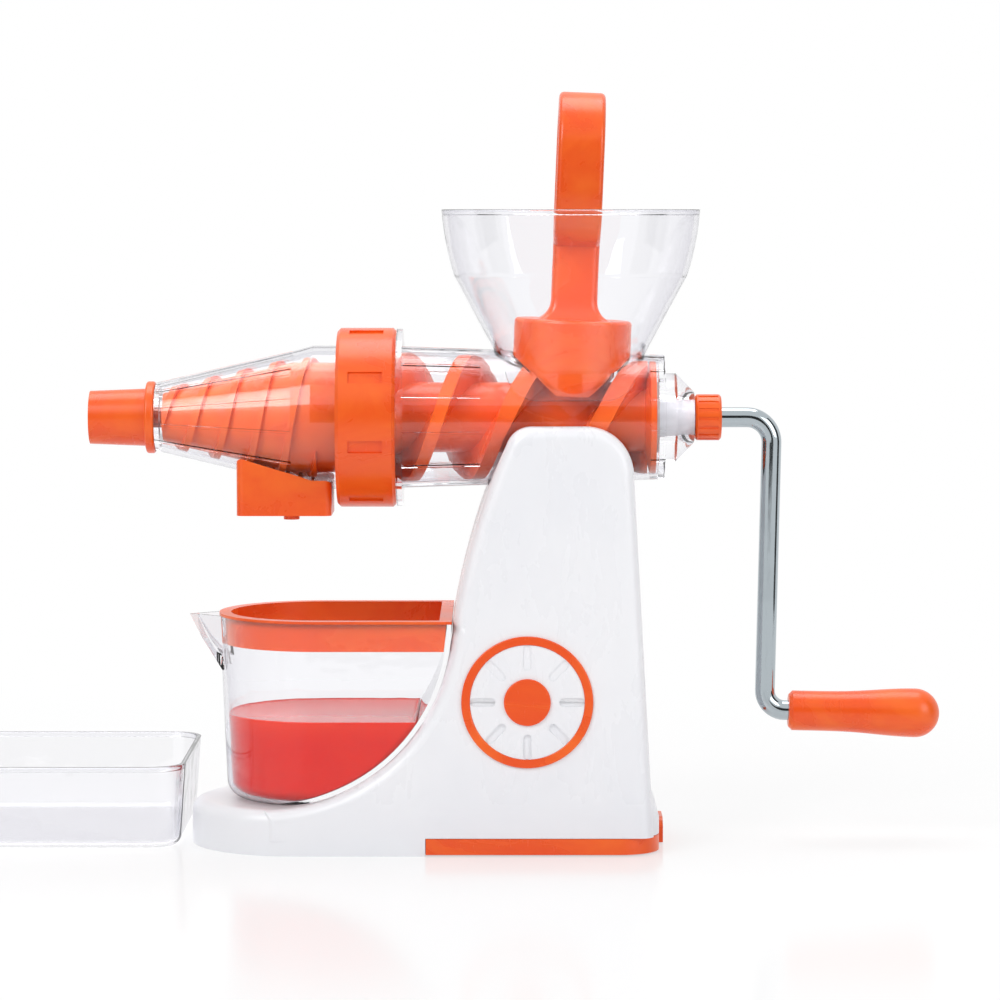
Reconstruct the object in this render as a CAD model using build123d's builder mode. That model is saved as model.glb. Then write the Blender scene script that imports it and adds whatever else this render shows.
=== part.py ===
from build123d import *
from math import asin, cos, degrees, radians, sin, sqrt, tan
import os

os.makedirs("parts", exist_ok=True)

# Hand-cranked juicer, in millimetres. The origin is the middle of the base's footprint on the
# counter, +X runs along the screw towards the crank, and the user looks along +Y.

# ---- shared clearances
SNUG = 0.05                 # between still parts that sit in each other
RUN = 0.06                  # round a shaft in its bearing
FREE = 0.4                  # between parts that move past each other
FACE_GAP = 0.2              # between flat faces that slide or turn past each other
EMBED = 0.5                 # how far a lug or boss reaches into what it stands on

# ---- stand
BASE_HALF = 93.5            # half of the base's length
BASE_WIDTH = 84.0
BASE_CORNER = 16.0          # plan radius of the base's rear corners
STAND_WALL = 2.6
STAND_TOP = 168.4
STAND_TOP_WIDTH = 72.0
STAND_ROUND = 5.0           # rounding along the stand's outside edges
REAR_SET = 2.5              # the rear face's foot stands this far in from the base's edge
SHOULDER_RADIUS = 19.0      # rear corner at the top of the stand
BROW_RADIUS = 10.0          # front corner at the top of the stand
NEST_X = -62.4              # centre of the hollow curve that the cup nests in
NEST_Z = 91.9
NEST_RADIUS = 74.2
DECK_Z = 17.8               # top of the platform under the cup
NECK_FRONT_X = 36.2         # front and rear of the stand at its top
NECK_REAR_X = 82.0
NECK_SWELL_X = 19.6         # the front face swells out to here, half way up
NECK_SWELL_Z = 125.0
HOLLOW_TOP = 132.0          # the stand is solid above this, round the cradle
SKIRT_Z = 7.1               # lower edge of the stand above the suction slide
SLIDE_START_X = 1.2         # front end of the suction slide

# ---- screw and barrel
SHAFT_Z = 170.5             # height of the screw's axis
CLEAR_WALL = 2.0            # clear plastic wall
FLANGE_X = -10.8            # front face of the barrel's flange
FLANGE_THICK = 2.4
FLANGE_RADIUS = 35.4
BARREL_REAR_X = 96.0
BARREL_FRONT_RADIUS = 28.3
BARREL_REAR_RADIUS = 24.8
SPIGOT_X = -27.9            # front end of the barrel's bayonet spigot
SPIGOT_RADIUS = 29.5
LUG_RADIUS = 31.8
LUG_COUNT = 3
LUG_ARC = 60.0
LUG_SETBACK = 11.5          # from the spigot's front end to its lugs
LUG_THICK = 3.0
RIB_COUNT = 12
RIB_HEIGHT = 0.6
RIB_WIDTH = 1.0
RIB_TURN = 10.0             # the first rib's angle below the near side
FRONT_RIB_END_X = 22.6      # the barrel's ribs stop here, in front of the stand
REAR_RIB_X = 90.0           # and start again here, behind it
REAR_WALL = 2.6
NOSE_RADIUS = 17.6
NOSE_STEP = 4.8
NOSE_LENGTH = 12.0
NOSE_END_RADIUS = 10.2
TONGUE_LENGTH = 20.0        # key under the barrel that locks it to the stand
TONGUE_WIDTH = 16.0
TONGUE_X = 60.0
TONGUE_Z = 136.5
SCREW_RADIUS = 2.0
SCREW_HEAD_RADIUS = 3.8
SCREW_HEAD = 2.4
SCREW_REACH = 5.0           # how far the barrel's screw reaches into the tongue

# ---- bearing and screw
SHANK_RADIUS = 5.8
SHANK_PROUD = 2.0           # the shank stands this far out of the nose
BUSH_WALL = 1.75
SEAL_THICK = 0.9
INSERT_RADIUS = 4.4
STUD_RADIUS = 3.0
STUD_GAP = 1.0              # between the stud's end and the bottom of its hole
CORE_RADIUS = 14.0
CREST_GAP = 0.5             # between the screw's crests and the wall round them
LOBES = 2                   # the screw has two starts
LEAD_FEED = 77.6            # lead under the hopper
LEAD_PRESS = 52.0           # lead in the front half of the barrel
LEAD_TIP = 26.0             # lead of the ridges on the cone
LEAD_CHANGE_X = 31.6
FLIGHT_ROOT_ARC = 56.0      # angle that a flight covers at its root and at its crest
FLIGHT_CREST_ARC = 34.0
DISC_THICK = 4.4
PRESS_END_X = -30.0         # front end of the large flights
TIP_X = -104.0
TIP_PHASE_X = -51.8
RIDGE_HEIGHT = 1.9
RIDGE_ROOT = 6.0            # the ridges start this far from the axis, inside the cone
RIDGE_RUN_ON = 10.0         # and run this far past the cone's base
FLIGHT_SINK = 2.0           # how far the flights reach into the core
NIB_RADIUS = 4.0
NIB_X = -112.0

# ---- front cone, spout and nozzle
CONE_TIP_X = -107.2
CONE_TIP_RADIUS = 13.4
CONE_BASE_X = -52.4
CONE_BASE_RADIUS = 26.4
COLLAR_RADIUS = 28.6
COLLAR_X = -44.4
RIM_THICK = 2.5
GASKET_THICK = 1.5
NECK_RADIUS = 8.5
NECK_BORE = 6.8
NECK_LENGTH = 11.2
SLOT_COUNT = 6
SLOT_WIDTH = 1.5
SLOT_PITCH = 5.0
SLOT_SPAN = 18.0
SLOT_FIRST_X = -70.0
SPOUT_FRONT_X = -74.4
SPOUT_REAR_X = -36.6
SPOUT_WIDTH = 30.0
SPOUT_Z = 132.0
SPOUT_ROUND = 3.0
DRIP_X = -53.2
DRIP_RADIUS = 3.2
DRIP_BORE = 2.2
DRIP_Z = 129.6
NOZZLE_END_X = -133.6
NOZZLE_END_RADIUS = 10.6
NOZZLE_RADIUS = 11.5
NOZZLE_FLANGE = 3.6
NOZZLE_FLANGE_RADIUS = 14.4
NOZZLE_ROUND = 1.0

# ---- locking ring
RING_FRONT_X = -34.4
RING_RADIUS = 35.8
RING_LIP = 2.3
RING_BORE = 32.2
RING_GROOVES = 8
GROOVE_TURN = 16.0
GROOVE_WIDTH = 5.0
GROOVE_DEPTH = 0.9
RING_CHAMFER = 1.3
RING_LUG_THICK = 2.2
LUG_PLAY = 4.0              # angle by which a ring lug is shorter at each end

# ---- hopper and pusher
HOPPER_X = 58.6
RIM_Z = 253.5
RIM_RADIUS = 51.6
THROAT_RADIUS = 24.0
CONE_Z = 227.3              # the bowl turns into a straight cone here
CONE_TOP_RADIUS = 46.6
BOWL_SWELL = 0.8            # how far the bowl bulges between its knee and its rim
NECK_Z = 189.0
SADDLE_Z = 178.3
SADDLE_HALF = 26.2
SADDLE_ROUND = 13.0
PUSHER_GAP = 0.6
PUSHER_TILT = 2.3
PLUG_TOP = 210.0
PLUG_FOOT = 179.5
PUSHER_TOP = 300.0
SHAFT_WIDTH = 18.4          # the pusher's shaft along X
SHAFT_DEPTH = 15.0          # and along Y
LOOP_HALF = 23.0
LOOP_BAR = 9.0
LOOP_FOOT = 238.0
FLARE = 6.0                 # how far the shaft's foot spreads on the plug
SHAFT_ROUND = 3.0
LOOP_ROUND = 2.0
PLUG_ROUND = 1.5

# ---- crank
ROD_RADIUS = 4.0
CRANK_X = 139.4             # where the arm's line meets the screw's axis
CRANK_THROW = 118.0
CRANK_LEAN = 1.2            # the bends are this much over a right angle
UPPER_BEND = 10.0
LOWER_BEND = 8.0
NUT_RADIUS = 9.2
NUT_LENGTH = 10.4
NUT_GROOVES = 16
NUT_GROOVE_DEPTH = 0.4
NUT_GROOVE_WIDTH = 1.2
NUT_CHAMFER = 0.8
GRIP_START = 9.6            # from the arm's line to the grip, along the grip
GRIP_LENGTH = 60.8
GRIP_NECK_RADIUS = 8.0
GRIP_BELLY_RADIUS = 9.8
GRIP_CHAMFER = 1.5
GRIP_SWELL = 0.4            # how much the grip has grown at its waist
CLIP_RADIUS = 5.6
CLIP_THICK = 1.2

# ---- cup, its collar and the pulp tray
CUP_LEFT = -82.4
CUP_RIGHT = 11.6
CUP_WIDTH = 82.0
CUP_DRAFT = 2.5
CUP_WALL = 1.8
CUP_RIM_Z = 91.5
CUP_FOOT_ROUND = 7.0
LIP_TIP_X = -94.2
LIP_HALF = 13.0
LIP_FOOT_Z = 70.0
LIP_NOSE = 9.0              # height of the lip's nose below the rim
LIP_RAKE = 5.0              # and how far its lower corner is set back
LIP_TIP_HALF = 0.8
LIP_ROOT = 10.0             # how far the lip reaches into the cup
COLLAR_DEPTH = 11.0
COLLAR_WALL = 2.6
COLLAR_FLANGE = 1.1
TRAY_RIGHT = -95.2
TRAY_LENGTH = 112.0
TRAY_NEAR = -27.0
TRAY_FAR = 77.0
TRAY_HEIGHT = 33.0
TRAY_WALL = 1.8
TRAY_ROUND = 14.0
TRAY_FOOT_ROUND = 4.0
TRAY_DRAFT = 4.0

# ---- badge
BADGE_X = 41.1
BADGE_Z = 60.8
BADGE_RADIUS = 25.9
BADGE_BAND = 3.4
BADGE_CAP_RADIUS = 9.2
BADGE_SINK = 1.2
BADGE_PROUD = 1.0
BADGE_PEG_RADIUS = 3.0
BADGE_SLOTS = 8

# ---- base plate and suction
PLATE_THICK = 3.0
PLATE_SCREW_HEAD = 1.4
SLIDE_WALL = 5.8
SLIDE_LIFT = 0.6
SLIDE_TRAVEL = 12.0
TAB_REACH = 2.0
TAB_TOP = 10.3
TAB_WIDTH = 24.0
STEM_X = 43.6
STEM_RADIUS = 3.0
STEM_DROP = 4.0
STEM_FOOT_RADIUS = 6.5
STEM_FOOT_THICK = 1.2
WELL_RADIUS = 28.5          # the pocket in the base plate over the suction pad
WELL_ROOF = 6.3
WELL_TOP = 9.0
PAD_RADIUS = 27.0
PAD_HEIGHT = 5.0
PAD_SKIN = 1.6
PIN_Z = 16.0
PIN_RADIUS = 1.5
CHEEK_INNER = 5.5
CHEEK_THICK = 2.5
CHEEK_POST = 1.2            # length along X of the posts behind the well
CHEEK_TOP = 19.0
POST_RADIUS = 4.0
PLATE_SCREW_SPOTS = [(-66.0, 24.0), (-66.0, -24.0), (76.0, 28.0), (76.0, -28.0)]

SHAFT = Axis((0, 0, SHAFT_Z), (1, 0, 0))
HOPPER = Axis((HOPPER_X, 0, 0), (0, 0, 1))
BIG = 400.0
RIB_TURNS = [RIB_TURN + turn * 360 / RIB_COUNT for turn in range(RIB_COUNT)]


def barrel_radius(x):
    """Outside radius of the tapered barrel."""
    share = (x - FLANGE_X - FLANGE_THICK) / (BARREL_REAR_X - FLANGE_X - FLANGE_THICK)
    return BARREL_FRONT_RADIUS + share * (BARREL_REAR_RADIUS - BARREL_FRONT_RADIUS)


def cone_radius(x):
    """Outside radius of the front cone."""
    share = (x - CONE_TIP_X) / (CONE_BASE_X - CONE_TIP_X)
    return CONE_TIP_RADIUS + share * (CONE_BASE_RADIUS - CONE_TIP_RADIUS)


def bore_radius(x):
    """Inside radius of the barrel."""
    return min(barrel_radius(x), BARREL_FRONT_RADIUS) - CLEAR_WALL


def side_outline(points):
    """Closed straight-sided outline in the side plane, from (x, z) points."""
    with BuildSketch(Plane.XZ) as outline:
        with BuildLine():
            Polyline(points, close=True)
        make_face()
    return outline.sketch


def shaft_outline(points):
    """Closed outline beside the screw's axis, from (x, radius) points."""
    return side_outline([(x, SHAFT_Z + radius) for x, radius in points])


def turned(points):
    """Solid turned round the screw's axis, from (x, radius) points."""
    with BuildPart() as solid:
        revolve(shaft_outline(points), axis=SHAFT)
    return solid.part


def round_barrel(clearance):
    """Solid that fills the barrel's outline, made wider by a clearance."""
    front = barrel_radius(0) + clearance
    rear = barrel_radius(BARREL_REAR_X) + clearance
    return turned([(0, 0), (0, front), (BARREL_REAR_X, rear), (BARREL_REAR_X, 0)])


def arc_lugs(x_low, x_high, inner, outer, arc, start):
    """Equal lugs round the screw's axis, each covering an arc."""
    corners = [(x_low, inner), (x_high, inner), (x_high, outer), (x_low, outer)]
    with BuildPart() as lug:
        revolve(shaft_outline(corners), axis=SHAFT, revolution_arc=arc)
    return [lug.part.rotate(SHAFT, start + turn * 360 / LUG_COUNT) for turn in range(LUG_COUNT)]


def surface_ribs(profile, turns):
    """Thin ribs whose side outline is given by (x, radius) points, turned to each angle."""
    with BuildPart() as rib:
        extrude(shaft_outline(profile), amount=RIB_WIDTH / 2, both=True)
    return [rib.part.rotate(SHAFT, 90 + turn) for turn in turns]


def base_outline(inset):
    """Plan of the base: a half round front, a straight rear with round corners."""
    half = BASE_WIDTH / 2 - inset
    arc_x = BASE_WIDTH / 2 - BASE_HALF
    rear_x = BASE_HALF - inset
    with BuildSketch() as outline:
        with Locations((arc_x, 0)):
            Circle(half)
        with Locations(((arc_x + rear_x) / 2, 0)):
            Rectangle(rear_x - arc_x, 2 * half)
        fillet(outline.vertices().group_by(Axis.X)[-1], BASE_CORNER - inset)
    return outline.sketch


def column_outline():
    """Side view of the stand above its platform."""
    with BuildSketch(Plane.XZ) as outline:
        with BuildLine():
            Line((NEST_X, DECK_Z / 3), (NEST_X, NEST_Z - NEST_RADIUS))
            CenterArc((NEST_X, NEST_Z), NEST_RADIUS, 270, 90)
            ThreePointArc(
                (NEST_X + NEST_RADIUS, NEST_Z),
                (NECK_SWELL_X, NECK_SWELL_Z),
                (NECK_FRONT_X, STAND_TOP),
            )
            Line((NECK_FRONT_X, STAND_TOP), (NECK_REAR_X, STAND_TOP))
            Line((NECK_REAR_X, STAND_TOP), (BASE_HALF - REAR_SET, DECK_Z / 3))
            Line((BASE_HALF - REAR_SET, DECK_Z / 3), (NEST_X, DECK_Z / 3))
        make_face()
        fillet(outline.vertices().group_by(Axis.Y)[-1].sort_by(Axis.X)[-1], SHOULDER_RADIUS)
        fillet(outline.vertices().group_by(Axis.Y)[-1].sort_by(Axis.X)[0], BROW_RADIUS)
    return outline.sketch


def stand_half_width(z):
    """Half of the stand's width at a height: it narrows towards the top."""
    share = (z - DECK_Z) / (STAND_TOP - DECK_Z)
    return (BASE_WIDTH + share * (STAND_TOP_WIDTH - BASE_WIDTH)) / 2


def end_outline(inset):
    """End view of the stand, wide at the foot and narrow at the top."""
    foot = BASE_WIDTH / 2 - inset
    head = STAND_TOP_WIDTH / 2 - inset
    right = [(foot, 0), (foot, DECK_Z), (head, STAND_TOP)]
    left = [(-y, z) for y, z in reversed(right)]
    with BuildSketch(Plane.YZ) as outline:
        with BuildLine():
            Polyline(right + left, close=True)
        make_face()
    return outline.sketch


# ---------------------------------------------------------------- stand
with BuildPart() as column:
    extrude(column_outline(), amount=BASE_WIDTH, both=True)
    extrude(end_outline(0), amount=BIG, both=True, mode=Mode.INTERSECT)
    near_and_far = [column.faces().sort_by(Axis.Y)[0], column.faces().sort_by(Axis.Y)[-1]]
    rims = [edge for face in near_and_far for edge in face.edges() if edge.center().Z > DECK_Z / 2]
    fillet(rims, STAND_ROUND)

with BuildPart() as column_hollow:
    extrude(offset(column_outline(), amount=-STAND_WALL), amount=BASE_WIDTH, both=True)
    extrude(end_outline(STAND_WALL), amount=BIG, both=True, mode=Mode.INTERSECT)
    with Locations((0, 0, HOLLOW_TOP)):
        Box(BIG, BIG, BIG, align=(Align.CENTER, Align.CENTER, Align.MIN), mode=Mode.SUBTRACT)

badge_tilt = degrees(asin((BASE_WIDTH - STAND_TOP_WIDTH) / 2 / (STAND_TOP - DECK_Z)))
badge_plane = Plane(
    origin=(BADGE_X, -stand_half_width(BADGE_Z), BADGE_Z),
    x_dir=(1, 0, 0),
    z_dir=(0, -cos(radians(badge_tilt)), sin(radians(badge_tilt))),
)

with BuildPart() as stand_shell:
    extrude(base_outline(0), amount=DECK_Z)
    fillet(stand_shell.edges().group_by(Axis.Z)[-1], STAND_ROUND)
    add(column.part)
    extrude(base_outline(STAND_WALL), amount=DECK_Z - STAND_WALL, mode=Mode.SUBTRACT)
    add(column_hollow.part, mode=Mode.SUBTRACT)
    for spot_x, spot_y in PLATE_SCREW_SPOTS:
        post_top = DECK_Z - STAND_WALL / 2 if spot_x < 0 else DECK_Z * 2
        outward = 1 if spot_y > 0 else -1
        with Locations((spot_x, spot_y, PLATE_THICK)):
            Cylinder(POST_RADIUS, post_top - PLATE_THICK, align=(Align.CENTER, Align.CENTER, Align.MIN))
        if spot_x > 0:
            web = stand_half_width(DECK_Z) - STAND_WALL / 2 - abs(spot_y)
            with Locations((spot_x, spot_y + outward * web / 2, SKIRT_Z + STAND_WALL)):
                Box(STAND_WALL, web, DECK_Z, align=(Align.CENTER, Align.CENTER, Align.MIN))
    with BuildSketch(badge_plane.offset(-STAND_WALL / 2)):
        Circle(BADGE_RADIUS + STAND_WALL)
    extrude(amount=-STAND_WALL)
    with BuildSketch(badge_plane):
        Circle(BADGE_RADIUS + SNUG)
    extrude(amount=-BADGE_SINK - SNUG, mode=Mode.SUBTRACT)
    with BuildSketch(badge_plane.offset(-BADGE_SINK)):
        Circle(BADGE_PEG_RADIUS + SNUG)
    extrude(amount=-2 * STAND_WALL, mode=Mode.SUBTRACT)
    add(round_barrel(FREE), mode=Mode.SUBTRACT)
    with Locations((TONGUE_X, 0, TONGUE_Z)):
        Box(
            TONGUE_LENGTH + 2 * SNUG,
            TONGUE_WIDTH + 2 * SNUG,
            SHAFT_Z - TONGUE_Z,
            align=(Align.CENTER, Align.CENTER, Align.MIN),
            mode=Mode.SUBTRACT,
        )
    with Locations((TONGUE_X, 0, TONGUE_Z)):
        Cylinder(SCREW_RADIUS + RUN, STAND_WALL * 4, mode=Mode.SUBTRACT)
    with Locations((SLIDE_START_X - FACE_GAP, 0, 0)):
        Box(BIG, BIG, SKIRT_Z, align=(Align.MIN, Align.CENTER, Align.MIN), mode=Mode.SUBTRACT)
    for spot_x, spot_y in PLATE_SCREW_SPOTS:
        with Locations((spot_x, spot_y, PLATE_THICK)):
            Cylinder(
                SCREW_RADIUS,
                DECK_Z - 2 * STAND_WALL - PLATE_THICK,
                align=(Align.CENTER, Align.CENTER, Align.MIN),
                mode=Mode.SUBTRACT,
            )
stand_shell.part.label = "stand_shell"
export_step(stand_shell.part, "parts/stand_shell.step")

# ---------------------------------------------------------------- base plate and suction
with BuildPart() as base_plate:
    extrude(base_outline(STAND_WALL + SNUG), amount=PLATE_THICK)
    with Locations((SLIDE_START_X - FACE_GAP, 0, 0)):
        Box(BIG, BIG, PLATE_THICK, align=(Align.MIN, Align.CENTER, Align.MIN), mode=Mode.SUBTRACT)
    with BuildSketch():
        add(base_outline(SLIDE_WALL + FACE_GAP))
        with Locations((-BIG / 2, 0)):
            Rectangle(BIG, BASE_WIDTH, mode=Mode.SUBTRACT)
    extrude(amount=PLATE_THICK)
    with Locations((STEM_X, 0, 0)):
        Cylinder(WELL_RADIUS + CLEAR_WALL, WELL_TOP, align=(Align.CENTER, Align.CENTER, Align.MIN))
        Cylinder(
            WELL_RADIUS, WELL_ROOF, align=(Align.CENTER, Align.CENTER, Align.MIN), mode=Mode.SUBTRACT
        )
        Cylinder(STEM_RADIUS + RUN, 2 * WELL_TOP, mode=Mode.SUBTRACT)
    with Locations(*[(x, y, 0) for x, y in PLATE_SCREW_SPOTS]):
        Cylinder(SCREW_RADIUS + RUN, 2 * PLATE_THICK, mode=Mode.SUBTRACT)
        Cylinder(SCREW_HEAD_RADIUS + RUN, 2 * PLATE_SCREW_HEAD, mode=Mode.SUBTRACT)
base_plate.part.label = "base_plate"
export_step(base_plate.part, "parts/base_plate.step")

with BuildPart() as plate_screws:
    with Locations(*[(x, y, PLATE_SCREW_HEAD) for x, y in PLATE_SCREW_SPOTS]):
        Cylinder(
            SCREW_HEAD_RADIUS,
            PLATE_SCREW_HEAD,
            align=(Align.CENTER, Align.CENTER, Align.MAX),
        )
        Cylinder(SCREW_RADIUS - SNUG, DECK_Z / 2, align=(Align.CENTER, Align.CENTER, Align.MIN))
plate_screws.part.label = "plate_screws"
export_step(plate_screws.part, "parts/plate_screws.step")

slot_run = sqrt(SLIDE_TRAVEL**2 + STEM_DROP**2)
slot_slope = degrees(asin(STEM_DROP / slot_run))
cheek_rear = STEM_X + WELL_RADIUS + CLEAR_WALL
with BuildPart() as suction_slide:
    with BuildSketch(Plane.XY.offset(SLIDE_LIFT)):
        add(base_outline(0))
        add(base_outline(SLIDE_WALL), mode=Mode.SUBTRACT)
        with Locations((SLIDE_START_X, 0)):
            Rectangle(BIG, BASE_WIDTH * 2, align=(Align.MAX, Align.CENTER), mode=Mode.SUBTRACT)
    extrude(amount=SKIRT_Z - FACE_GAP - SLIDE_LIFT)
    with BuildSketch(Plane.YZ.offset(BASE_HALF + FACE_GAP)):
        with Locations((0, SLIDE_LIFT)):
            RectangleRounded(TAB_WIDTH, 2 * (TAB_TOP - SLIDE_LIFT), TAB_WIDTH / 4)
            Rectangle(BIG, BIG, align=(Align.CENTER, Align.MAX), mode=Mode.SUBTRACT)
    extrude(amount=TAB_REACH)
    with Locations((BASE_HALF - SLIDE_WALL / 2, 0, SLIDE_LIFT)):
        Box(
            SLIDE_WALL / 2 + FACE_GAP + TAB_REACH,
            TAB_WIDTH,
            SKIRT_Z - FACE_GAP - SLIDE_LIFT,
            align=(Align.MIN, Align.CENTER, Align.MIN),
        )
    for side in (1, -1):
        cheek_y = side * (CHEEK_INNER + CHEEK_THICK / 2)
        with Locations((cheek_rear, cheek_y, PLATE_THICK + FACE_GAP)):
            Box(
                BASE_HALF - SLIDE_WALL / 2 - cheek_rear,
                CHEEK_THICK,
                SKIRT_Z - 2 * FACE_GAP - PLATE_THICK,
                align=(Align.MIN, Align.CENTER, Align.MIN),
            )
            Box(
                CHEEK_POST,
                CHEEK_THICK,
                CHEEK_TOP - PLATE_THICK - FACE_GAP,
                align=(Align.MIN, Align.CENTER, Align.MIN),
            )
        with Locations((cheek_rear + CHEEK_POST, cheek_y, WELL_TOP + FREE)):
            Box(
                cheek_rear + CHEEK_POST - STEM_X + SLIDE_TRAVEL + 2 * STEM_RADIUS,
                CHEEK_THICK,
                CHEEK_TOP - WELL_TOP - FREE,
                align=(Align.MAX, Align.CENTER, Align.MIN),
            )
    with BuildSketch(Plane.XZ):
        slot_middle = (STEM_X - SLIDE_TRAVEL / 2, PIN_Z - STEM_DROP / 2)
        with Locations(Location((slot_middle[0], slot_middle[1], 0), (0, 0, slot_slope))):
            SlotCenterToCenter(slot_run, 2 * (PIN_RADIUS + RUN))
    extrude(amount=BASE_WIDTH / 2, both=True, mode=Mode.SUBTRACT)
suction_slide.part.label = "suction_slide"
export_step(suction_slide.part, "parts/suction_slide.step")

with BuildPart() as suction_stem:
    with Locations((STEM_X, 0, PAD_HEIGHT)):
        Cylinder(
            STEM_FOOT_RADIUS, STEM_FOOT_THICK, align=(Align.CENTER, Align.CENTER, Align.MIN)
        )
        Cylinder(
            STEM_RADIUS,
            PIN_Z + 2 * PIN_RADIUS - PAD_HEIGHT,
            align=(Align.CENTER, Align.CENTER, Align.MIN),
        )
    with Locations(Location((STEM_X, 0, PIN_Z), (90, 0, 0))):
        Cylinder(PIN_RADIUS, BIG / 10, mode=Mode.SUBTRACT)
suction_stem.part.label = "suction_stem"
export_step(suction_stem.part, "parts/suction_stem.step")

with BuildPart() as stem_pin:
    with Locations(Location((STEM_X, 0, PIN_Z), (90, 0, 0))):
        Cylinder(PIN_RADIUS, 2 * (CHEEK_INNER + CHEEK_THICK + FREE))
stem_pin.part.label = "stem_pin"
export_step(stem_pin.part, "parts/stem_pin.step")

with BuildPart() as suction_pad:
    with BuildSketch(Plane.XZ):
        with BuildLine():
            edge = STEM_X + PAD_RADIUS
            shoulder = STEM_X + STEM_FOOT_RADIUS
            Polyline(
                (STEM_X, PAD_HEIGHT),
                (shoulder, PAD_HEIGHT),
                (edge, PAD_SKIN),
                (edge, 0),
                (edge - 2 * PAD_SKIN, 0),
                (shoulder, PAD_HEIGHT - PAD_SKIN),
                (STEM_X, PAD_HEIGHT - PAD_SKIN),
                close=True,
            )
        make_face()
    revolve(axis=Axis((STEM_X, 0, 0), (0, 0, 1)))
suction_pad.part.label = "suction_pad"
export_step(suction_pad.part, "parts/suction_pad.step")

# ---------------------------------------------------------------- badge on the near face
badge_axis = Axis(badge_plane.origin, badge_plane.z_dir)
with BuildPart() as badge_ring:
    with BuildSketch(badge_plane.offset(-BADGE_SINK)):
        Circle(BADGE_RADIUS)
        Circle(BADGE_RADIUS - BADGE_BAND, mode=Mode.SUBTRACT)
    extrude(amount=BADGE_SINK + BADGE_PROUD)
    fillet(badge_ring.edges().group_by(badge_axis)[-1], BADGE_PROUD / 2)
badge_ring.part.label = "badge_ring"
export_step(badge_ring.part, "parts/badge_ring.step")

with BuildPart() as badge_disc:
    with BuildSketch(badge_plane.offset(-BADGE_SINK)):
        Circle(BADGE_RADIUS - BADGE_BAND - SNUG)
        Circle(BADGE_PEG_RADIUS + SNUG, mode=Mode.SUBTRACT)
    extrude(amount=BADGE_SINK + BADGE_PROUD / 2)
    with BuildSketch(badge_plane.offset(BADGE_PROUD / 2)):
        with PolarLocations((BADGE_RADIUS + BADGE_CAP_RADIUS) / 2, BADGE_SLOTS):
            SlotOverall(BADGE_RADIUS - BADGE_CAP_RADIUS - 2 * BADGE_BAND, BADGE_BAND)
    extrude(amount=-BADGE_PROUD, mode=Mode.SUBTRACT)
badge_disc.part.label = "badge_disc"
export_step(badge_disc.part, "parts/badge_disc.step")

with BuildPart() as badge_cap:
    with BuildSketch(badge_plane.offset(BADGE_PROUD / 2)):
        Circle(BADGE_CAP_RADIUS)
    extrude(amount=BADGE_PROUD)
    fillet(badge_cap.edges().group_by(badge_axis)[-1], BADGE_PROUD / 2)
    with BuildSketch(badge_plane.offset(BADGE_PROUD / 2)):
        Circle(BADGE_PEG_RADIUS)
    extrude(amount=-BADGE_PROUD / 2 - BADGE_SINK - 2 * STAND_WALL)
badge_cap.part.label = "badge_cap"
export_step(badge_cap.part, "parts/badge_cap.step")

# ---------------------------------------------------------------- barrel
nose_x = BARREL_REAR_X + NOSE_STEP
nose_end_x = BARREL_REAR_X + NOSE_LENGTH
bush_radius = SHANK_RADIUS + RUN + BUSH_WALL
wall_x = BARREL_REAR_X - REAR_WALL
flange_rear_x = FLANGE_X + FLANGE_THICK
lug_x = SPIGOT_X + LUG_SETBACK
with BuildPart() as barrel:
    revolve(
        shaft_outline(
            [
                (SPIGOT_X, SPIGOT_RADIUS),
                (FLANGE_X, SPIGOT_RADIUS),
                (FLANGE_X, FLANGE_RADIUS),
                (flange_rear_x, FLANGE_RADIUS),
                (flange_rear_x, BARREL_FRONT_RADIUS),
                (BARREL_REAR_X, BARREL_REAR_RADIUS),
                (BARREL_REAR_X, NOSE_RADIUS),
                (nose_x, NOSE_RADIUS),
                (nose_end_x, NOSE_END_RADIUS),
                (nose_end_x, bush_radius + SNUG),
                (wall_x, bush_radius + SNUG),
                (wall_x, bore_radius(wall_x)),
                (flange_rear_x, bore_radius(flange_rear_x)),
                (SPIGOT_X, bore_radius(flange_rear_x)),
            ]
        ),
        axis=SHAFT,
    )
    add(arc_lugs(lug_x, lug_x + LUG_THICK, SPIGOT_RADIUS - EMBED, LUG_RADIUS, LUG_ARC, 0))
    for rib_start, rib_end in ((flange_rear_x, FRONT_RIB_END_X), (REAR_RIB_X, BARREL_REAR_X)):
        add(
            surface_ribs(
                [
                    (rib_start, barrel_radius(rib_start) - RIB_HEIGHT),
                    (rib_end, barrel_radius(rib_end) - RIB_HEIGHT),
                    (rib_end, barrel_radius(rib_end) + RIB_HEIGHT),
                    (rib_start, barrel_radius(rib_start) + RIB_HEIGHT),
                ],
                RIB_TURNS,
            )
        )
    with Locations((TONGUE_X, 0, TONGUE_Z)):
        Box(
            TONGUE_LENGTH,
            TONGUE_WIDTH,
            SHAFT_Z - barrel_radius(TONGUE_X) + CLEAR_WALL / 2 - TONGUE_Z,
            align=(Align.CENTER, Align.CENTER, Align.MIN),
        )
        Cylinder(SCREW_RADIUS, 2 * (SCREW_REACH + EMBED), mode=Mode.SUBTRACT)
    with Locations((HOPPER_X, 0, SHAFT_Z)):
        Cylinder(
            THROAT_RADIUS,
            2 * BARREL_FRONT_RADIUS,
            align=(Align.CENTER, Align.CENTER, Align.MIN),
            mode=Mode.SUBTRACT,
        )
barrel.part.label = "barrel"
export_step(barrel.part, "parts/barrel.step")

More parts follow.
